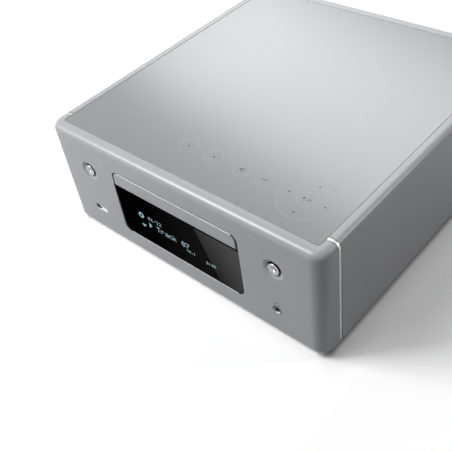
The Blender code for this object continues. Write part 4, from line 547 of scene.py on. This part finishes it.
white_ink, shader, place = coat("white_print", (0.62, 0.62, 0.61), 0.5)
feed(shader, Base_Color=tint(grain(place, 4000, 3), (0.52, 0.52, 0.51), (0.70, 0.70, 0.69)))


def printed(name, ink, marks, turn, body):
    """Plain marks printed on a face: (text, height, place), set in the face's plane by turn."""
    bm = bmesh.new()
    for text, height, place in marks:
        words = bpy.data.curves.new(name, "FONT")
        words.body = text
        words.size = height * 1.4
        words.align_x = "CENTER"
        words.align_y = "CENTER"
        words.extrude = 0.00001
        shown = bpy.data.objects.new(name, words)
        shape = bpy.data.meshes.new_from_object(shown)
        shape.transform(Matrix.Translation(place) @ turn)
        bm.from_mesh(shape)
        bpy.data.objects.remove(shown)
    piece(name, bm, ink, body)


face, small, middling, large = back + 0.00002, 0.0028, 0.0034, 0.0040
facing_back = Matrix.Rotation(math.pi, 4, "Z") @ Matrix.Rotation(math.pi / 2, 4, "X")
beside_x, top_z = first_x - 0.0060, first_z + step_z
marks = [("L", small, (beside_x, face, top_z)), ("R", small, (beside_x, face, first_z))]
marks += [(text, small, (first_x + n * step_x, face, top_z + 0.0067)) for n, text in enumerate("123")]
low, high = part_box("optical_input")
marks += [("4", small, ((low.x + high.x) / 2, face, high.z + 0.0034))]
low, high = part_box("terminal_base")
middle, half_x, half_z = (low + high) / 2, 0.012, 0.0105  # half the spacing of the terminals
for text, up in (("+", half_z), ("-", -half_z)):
    marks.append((text, large, (low.x - 0.0025, face, middle.z + up)))
for text, aside in (("L", -half_x), ("R", half_x)):
    marks.append((text, middling, (middle.x + aside, face, high.z + 0.0030)))
printed("rear_marks", white_ink, marks, facing_back, "cabinet")

# ---- Display -------------------------------------------------------------------------------------
# A lit dot-matrix display stands on the front board behind smoked acrylic. The acrylic is so dark
# that only the lit dots show, and it has more polish at its right end.
module_skin, shader, place = coat("display_cell", (0.015, 0.02, 0.022), 0.2)
cell = place.node("TexBrick", values={"Vector": place, "Scale": 1600}, out="Fac")
feed(shader, Base_Color=tint(cell, (0.010, 0.014, 0.016), (0.022, 0.030, 0.033)))
dress(module_skin, "display_module", edge=0.0002)
dress(black, "window_frame", edge=0.0002, steps=1)

smoked, shader, place = coat("smoked_acrylic", (0.0015, 0.0015, 0.0016), 0.07, 0,
                             Specular_IOR_Level=0, Coat_Roughness=0.03, Coat_IOR=1.5)
x, y, z = split(place)
slant, edge_x, fade_x, dull_top = 0.42, 0.0520, 0.03, 0.0013
right_part = (x + z * slant - edge_x).rise(-0.0004, 0.0004)
polish = right_part * (x * 10.2 + z * 6.8 - 0.514) + x.ramp(-fade_x, fade_x) * 0.05
feed(shader, Coat_Weight=polish * (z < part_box("display_glass")[1].z - dull_top),
     Roughness=0.05 + grain(place, 800, 2) * 0.03)
dress(smoked, "display_glass", edge=0.0002)

lit, shader, place = coat("lit_dot", (0.02, 0.05, 0.06), 0.5, 0, Emission_Strength=1.0)
glow = grain(place, 350, 1)
feed(shader, Emission_Color=tint(glow, (0.33, 0.50, 0.56), (0.46, 0.66, 0.73)))
letters = {  # five columns of each figure; the lowest bit is the top dot
    "0": "3E5149453E", "1": "00427F4000", "2": "4261514946", "4": "1814127F10", "5": "2745454539",
    "7": "0171090503", ":": "0036360000", ".": "0060600000", "/": "2010080402", ">": "007F3E1C08",
    "T": "01017F0101", "r": "7C08040408", "a": "2054545478", "c": "3844444420", "k": "7F10284400",
    " ": "0000000000"}
disc = ["..####..", ".######.", "###..###", "##....##", "##....##", "###..###", ".######.", "..####.."]
flag = ["######", "#####.", ".###..", "..#..."]
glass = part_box("display_glass")[0].y


def dots(bm, rows, left, top, pitch):
    """Adds a small square, just proud of the glass, for each # in the rows."""
    size, square = pitch * 0.74, ((0, 0), (0, 1), (1, 1), (1, 0))
    outer, inner = glass - 0.00004, glass + 0.00002
    for down, row in enumerate(rows):
        for across, mark in enumerate(row):
            if mark == "#":
                x, z = left + across * pitch, top - down * pitch
                front, rear = [[bm.verts.new((x + a * size, y, z - b * size)) for a, b in square]
                               for y in (outer, inner)]
                bm.faces.new(front)
                for n in range(4):
                    m = (n + 1) % 4
                    bm.faces.new((front[n], rear[n], rear[m], front[m]))
                bm.faces.new(reversed(rear))


def figures(text):
    """The seven rows of dots of a line of figures, with a column between them."""
    columns = []
    for mark in text:
        code = letters[mark]
        columns += [int(code[n:n + 2], 16) for n in range(0, 10, 2)] + [0]
    return ["".join("#" if column >> row & 1 else "." for column in columns) for row in range(7)]


# Each sign or line of figures with the left and top of its first dot, and the pitch of its dots.
shown = ((disc, -0.0440, 0.0562, 0.00074), (flag, -0.0424, 0.0437, 0.00080),
         (figures("> Track 07"), -0.0340, 0.0490, 0.00078), (figures("01/12"), -0.0330, 0.0556, 0.00052),
         (figures("44.1"), 0.0080, 0.0424, 0.00040), (figures("2:45"), 0.0285, 0.0412, 0.00044))
bm = bmesh.new()
for rows, left, top, pitch in shown:
    dots(bm, rows, left, top, pitch)
piece("display_figures", bm, lit, "cabinet")

# ---- Front bezel ---------------------------------------------------------------------------------
# One deep moulding in silver lacquer: a base coat with fine metal flake under satin clear. Inside the
# window, on the door's ends and in the button holes it is coloured near-black: partly the black moulding
# behind the face, partly painted shade in the gaps. The door's upper bevel carries a painted highlight. The
# headphone sign over its jack is printed in the same black.
silver, shader, place = coat("silver_lacquer", (0.385, 0.392, 0.415), 0.36, 0.04, Coat_Roughness=0.22,
                             Specular_IOR_Level=0.4)
metal_flake = grain(place, 9000, 1)
cloud = grain(place, 18, 2)
peel = grain(place, 420, 2)
x, y, z = split(place)
low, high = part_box("headphone_ring")
sign_lift, arch_radius, half_stroke, ink_edge = 0.0024, 0.0021, 0.00027, 0.0002
cup_x, cup_drop, half_cup, half_cup_height = 0.0020, 0.0004, 0.00042, 0.0006
across, above = x - (low.x + high.x) / 2, z - high.z - sign_lift
arch = (apart(across, above) - arch_radius).within(half_stroke, ink_edge) * (above > 0)
cups = (abs(across) - cup_x).within(half_cup, ink_edge) * (above + cup_drop).within(
    half_cup_height, ink_edge)
sign = arch.either(cups) * (y < low.y + 0.0025)

# Behind the face inside the window, the near-black is partly the bare moulding and partly painted shade on
# the door's top and sides. The near-black on the door's two ends, on the face along the window's left end
# below the door, and in the button holes is painted shade, a little paler round the power button. The
# door's upper edge is lighter with a painted highlight.
low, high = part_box("tray_door")
glass_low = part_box("display_glass")[0]
door_radius, window_radius, door_gap, glass_gap, rim = 0.0056, 0.0065, 0.0009, 0.0003, 0.0014
left_end, right_end, left_shade_width = 0.0006, 0.0015, 0.0011  # widths of painted shade on the door's left and right ends, and on the face along the window's left end


def rounded_end(half_width, above, radius):
    """How far a place is past an outline with rounded ends, and how much of that is sideways."""
    sideways = (abs(x) - half_width + radius).either(0)
    reach = apart(sideways, above.either(0))
    return reach - radius, sideways / (reach + 0.00001)


past_end, sideways = rounded_end(high.x, z - high.z + door_radius, door_radius)
end = (x > 0) * (left_end - right_end) - left_end
# side: a band of painted shade on the door's two ends, wider at the right end
side = span(past_end, sideways * end, 0.0002) * span(z, low.z, high.z)
below = glass_low.z - glass_gap + window_radius - z
past_window, sideways = rounded_end(high.x + door_gap, below, window_radius)
# A band of painted shade on the face along the window's left edge, below the door.
window_edge_shade = (past_window < sideways * (x < 0) * left_shade_width) * (z < low.z)
face_depth = 0.0004
# A painted highlight along the door's upper bevel.
door_edge_highlight = span(y, low.y + 0.00006, low.y + face_depth) * span(z, high.z - 0.0009, high.z + 0.0001) * (
    abs(x) < high.x)
# Near-black behind the face inside the window: the bare moulding, and painted shade on the door's top and
# sides in its gap.
moulding_and_shade = (y + side * 0.0005 > low.y + face_depth) * span(x, low.x - rim, high.x + rim) * span(
    z, glass_low.z - rim, high.z + rim)
low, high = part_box("power_button")
middle, hole_radius = (low + high) / 2, 0.00595
# Painted shade in the button holes, a little paler round the power button.
hole_shade = (apart(abs(x) + middle.x, z - middle.z) < hole_radius) * (1 - (x < 0) * 0.25)
lacquer = tint(metal_flake * 0.7 + cloud * 0.3, (0.355, 0.362, 0.385), (0.415, 0.422, 0.445))
lacquer = tint(door_edge_highlight, lacquer, (0.74, 0.75, 0.77))
feed(shader, Base_Color=tint(sign.either(moulding_and_shade, hole_shade, window_edge_shade), lacquer, (0.012, 0.012, 0.013)),
     Roughness=0.32 + metal_flake * 0.10, Normal=bump(peel, 0.000012), Coat_Weight=0.06 + cloud * 0.06)
dress(silver, "front_bezel", edge=0.0004, steps=3)
dress(silver, "tray_door", edge=0.0007, steps=4)

# ---- Buttons -------------------------------------------------------------------------------------
# Power and eject are caps turned from aluminium. The lathe leaves fine rings over the hollow face, which
# throw the light in a streak. The wall of each cap is coloured with painted shade, paler on the power cap,
# and the cap clicks a small black switch on the board behind it.
dimple_radius, dimple_depth, face_radius, rim_depth, ring_rate = 0.0030, 0.0019, 0.0048, 0.0005, 7000
for button, wall_shade in (("power_button", 0.10), ("eject_button", 0.012)):  # how pale the painted shade on each cap's wall is
    low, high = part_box(button)
    middle = (low + high) / 2
    spun, shader, place = coat(button.replace("button", "cap"), (0.60, 0.60, 0.61), 0.30, 0.85)
    x, y, z = split(place)
    out = apart(x - middle.x, z - middle.z)
    rings = (out * ring_rate).math("SINE") * 0.5 + 0.5
    wall = (y > low.y + rim_depth) * (out > face_radius)
    scatter = grain(place, 6000, 2)
    face = tint(rings * 0.6 + scatter * 0.4, (0.36, 0.36, 0.37), (0.56, 0.56, 0.57))
    feed(shader, Base_Color=tint(wall, face, (wall_shade, wall_shade, wall_shade)), Metallic=0.85 - wall * 0.85,
         Roughness=0.24 + scatter * 0.10,
         Normal=bump(out.rise(0, dimple_radius) + rings * 0.08, dimple_depth))
    dress(spun, button, edge=0.0002, steps=2)
dress(black, "power_switch", "eject_switch", edge=0.0002, steps=1)

# ---- Sockets on the front ------------------------------------------------------------------------
# The USB socket is a pressed steel shell round a white contact tongue; the left end of its opening, behind
# the lip and in its upper half, is painted black as shade. The headphone jack is a ring of dark chrome
# round a black barrel, with a painted highlight on the lower right of its lip, under the usual sign.
usb_shell, shader, place = coat("usb_shell", (0.55, 0.55, 0.54), 0.32, 0.6)
x, y, z = split(place)
low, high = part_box("usb_socket")
notch, lip, side_gap, top_gap = 0.0036, 0.0003, 0.0004, 0.0006
tongue = span(x, low.x + notch, high.x - side_gap) * (z < high.z - top_gap)
# Painted shade: black at the opening's left end, behind the lip and in its upper half.
deep = (x < low.x + notch) * (y > low.y + lip).either(z > (low.z + high.z) / 2)
steel = tint(tongue, (0.60, 0.60, 0.60), (0.93, 0.93, 0.92))
feed(shader, Base_Color=tint(deep, steel, (0.006, 0.006, 0.006)), Metallic=0.6 - tongue.either(deep) * 0.6,
     Roughness=0.30 + grain(place, 2400, 2) * 0.12)
dress(usb_shell, "usb_socket", edge=0.0001, steps=1)

chrome, shader, place = coat("dark_chrome", (0.05, 0.05, 0.055), 0.14, 0.9)
x, y, z = split(place)
low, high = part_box("headphone_ring")
middle, lip_radius, glint_side = (low + high) / 2, 0.0029, 0.0012
lip = apart(x - middle.x, z - middle.z) < lip_radius
# A painted highlight on the lower right of the lip.
jack_glint = lip * (x - z > middle.x - middle.z + glint_side)
feed(shader, Base_Color=tint(lip * 0.35 + jack_glint * 0.65, (0.028, 0.028, 0.030), (0.88, 0.88, 0.86)),
     Roughness=0.12 + jack_glint * 0.2 + grain(place, 3000, 2) * 0.08)
dress(chrome, "headphone_ring", edge=0.00015, steps=2)
dress(socket_skin, "headphone_jack", edge=0.0002)

# ---- Trim band and cover -------------------------------------------------------------------------
# The band is pale satin metal between the bezel and the cover, with a line of painted shade along its back,
# next to the cover's edge. The cover is steel, folded over the chassis in one wrap and lacquered to match
# the bezel.
band_skin, shader, place = coat("bright_trim", (0.62, 0.62, 0.61), 0.3, 0.75)
brushed = grain(place, 1600, 3, (0.05, 1, 0.05))
shade_line_width = 0.0008
# The line of painted shade along the band's back.
step = place.axis("Y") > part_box("trim_band")[1].y - shade_line_width
bright = tint(brushed, (0.54, 0.54, 0.53), (0.70, 0.70, 0.69))
feed(shader, Base_Color=tint(step, bright, (0.21, 0.21, 0.21)), Roughness=0.26 + brushed * 0.12)
dress(band_skin, "trim_band", edge=0.0002, steps=2)
dress(silver, "cabinet_cover", edge=0.0003, steps=3)

# ---- Touch panel ---------------------------------------------------------------------------------
# A flat satin plate that fills the cabinet's top. Fine engraved rings mark the touch keys: four
# small ones in a row and a large one round a small one at the right, with tiny printed signs.
panel_skin, shader, place = coat("touch_surface", (0.31, 0.315, 0.32), 0.24, 0.1, Coat_Roughness=0.12,
                                 Specular_IOR_Level=0.5)
x, y, z = split(place)
key_places, key_row = (-0.0147, 0.0114, 0.0396, 0.0598, 0.0972), -0.1105
small_ring, inner_ring, outer_ring = 0.00745, 0.0073, 0.0211
half_line, half_outer_line, soft = 0.00018, 0.00020, 0.0002
keys = [x - key_place for key_place in key_places]
along = y - key_row
*outs, dial_out = [apart(key, along) for key in keys]
line = (dial_out - outer_ring).within(half_outer_line, soft)
line = line + (dial_out - inner_ring).within(half_line, soft)
for out in outs:
    line = line + (out - small_ring).within(half_line, soft)
dial = keys[4]


def bar(across, along, half_width, half_length):
    """1 inside a small printed bar."""
    return across.within(half_width, 0.0001) * along.within(half_length, 0.0001)


stroke, bar_length, dot_radius, dot_place = 0.0003, 0.0011, 0.0008, 0.0152
marks = [bar(keys[0], along, bar_length, 0.00035), bar(keys[1], along, bar_length, stroke),
         bar(keys[1], along, stroke, bar_length), (outs[2] - 0.0016).within(stroke, 0.0001),
         bar(keys[2] + 0.0016, along, 0.0016, stroke), bar(dial - 0.0013, along, 0.00036, bar_length),
         bar(dial - 0.0027, along, 0.00036, bar_length), bar(keys[3], along, 0.0026, 0.00035)]
play = dial + 0.0020
marks.append(play.within(0.0012, 0.0001) * (abs(along) + play * 0.55 < 0.0007))
for right, back in ((dot_place, 0), (-dot_place, 0), (0, dot_place), (0, -dot_place)):
    marks.append(apart(dial - right, along - back).within(dot_radius, soft))
sand = grain(place, 5200, 2)
soft_cloud = grain(place, 12, 2)
base = tint(sand * 0.6 + soft_cloud * 0.4, (0.232, 0.236, 0.242), (0.257, 0.261, 0.267))
base = tint(line * 0.34, base, (0.62, 0.62, 0.63))
feed(shader, Base_Color=tint(marks[0].either(*marks[1:]), base, (0.02, 0.02, 0.022)),
     Roughness=0.20 + sand * 0.06, Normal=bump(line * -1 + sand * 0.04, 0.00008))
dress(panel_skin, "top_panel", edge=0.0001, steps=2)

# ---- Floor, lights and camera --------------------------------------------------------------------
# A plain white table in a pale room; the table is dark in the cabinet's shadows and in a painted shade
# along the cabinet's sides and back. Two soft lights stand at the front left, a small one at the back right
# draws a line along the cabinet's edge, and a wide panel at the back left shows as a soft sheen on the top.


def seen_directly(tap):
    """1 for the camera's rays, reflected ones and those through clear pieces, which see a white room."""
    seen, *others = [tap.node("LightPath", out=f"Is {kind} Ray") for kind in (
        "Camera", "Glossy", "Transmission")]
    return seen.either(*others)


floor = bpy.data.objects.new("floor", bpy.data.meshes.new("floor"))
bm = bmesh.new()
bmesh.ops.create_grid(bm, x_segments=1, y_segments=1, size=6)
bm.to_mesh(floor.data)
bm.free()
bpy.context.collection.objects.link(floor)
floor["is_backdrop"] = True
paper, shader, place = coat("white_table", (0.92, 0.92, 0.93), 0.8, Specular_IOR_Level=0.1,
                            Emission_Strength=1)
seen = seen_directly(place)
away = place.node("VectorMath", {"operation": "LENGTH"}, {0: place}, out="Value").rise(0.4, 1.6)
x, y, z = split(place)
# Painted shade on the table along the cabinet's sides and back, not its front: darkest under the cabinet's
# edge, fading out over side_shadow beyond it.
corner, foot_shadow, side_shadow = 0.012, 0.0034, 0.018
front_left, back_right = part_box("front_bezel")[0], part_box("cabinet_cover")[1]
middle = (front_left + back_right) / 2
half = back_right - middle
past_x, past_y = [(abs(tap) - reach + corner).either(0) for tap, reach in (
    (x - middle.x, half.x), (y - middle.y, half.y))]
from_corner = apart(past_x, past_y)
outside = from_corner - corner
under = outside.ramp(-foot_shadow, 0.0002)
beside = outside.ramp(0, side_shadow)
unlit_side = (past_x / (from_corner + 0.0001)).either(y > middle.y)
seen_less_painted_shade = seen * (1 - (0.88 - under * 0.70 - beside * 0.18) * unlit_side)
near = tint(seen_less_painted_shade, (0.03, 0.03, 0.03), (0.17, 0.17, 0.17))
feed(shader, Base_Color=tint(seen_less_painted_shade, (0.12, 0.12, 0.125), (0.95, 0.95, 0.95)),
     Emission_Color=tint(away * seen, near, (1, 1, 1)))
floor.data.materials.append(paper)

room = bpy.data.worlds.new("room")
bpy.context.scene.world = room
room.use_nodes = True
level = seen_directly(Tap(room.node_tree, None)) * 0.90 + 0.10
air = room.node_tree.nodes["Background"]
room.node_tree.links.new(level.socket, air.inputs["Strength"])
air.inputs["Color"].default_value = (1, 1, 1, 1)

aim = Vector((0, -0.05, 0.06))
for name, place, width, height, glow in (("front_left", (-0.702, -0.687, 1.022), 0.52, 0.52, 17.2),
                                         ("front", (-0.36, -0.72, 1.10), 0.5, 0.5, 4.6),
                                         ("back_right", (0.95, 0.70, 0.75), 0.16, 0.16, 41),
                                         ("back_left", (-0.98, 1.29, 1.10), 1.6, 0.8, 4.8)):
    light = bpy.data.lights.new(name, "AREA")
    light.shape = "RECTANGLE"
    light.size = width
    light.size_y = height
    light.energy = math.pi * width * height * glow
    lamp = bpy.data.objects.new(name, light)
    lamp.location = place
    lamp.rotation_euler = (aim - lamp.location).to_track_quat("-Z", "Y").to_euler()
    bpy.context.collection.objects.link(lamp)
lamp.rotation_euler = (0, 0, math.radians(-11))  # the wide panel at the back left hangs level

lens = bpy.data.cameras.new("camera")
lens.lens = 54.995
lens.sensor_width = 36
lens.clip_start = 0.01
eye = bpy.data.objects.new("camera", lens)
eye.location = (0.31759, -0.38638, 0.42084)
eye.rotation_euler = [math.radians(turn) for turn in (46.58378, 6.91654, 41.43745)]
bpy.context.collection.objects.link(eye)
bpy.context.scene.camera = eye
bpy.context.scene.view_settings.view_transform = "Standard"

low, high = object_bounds()
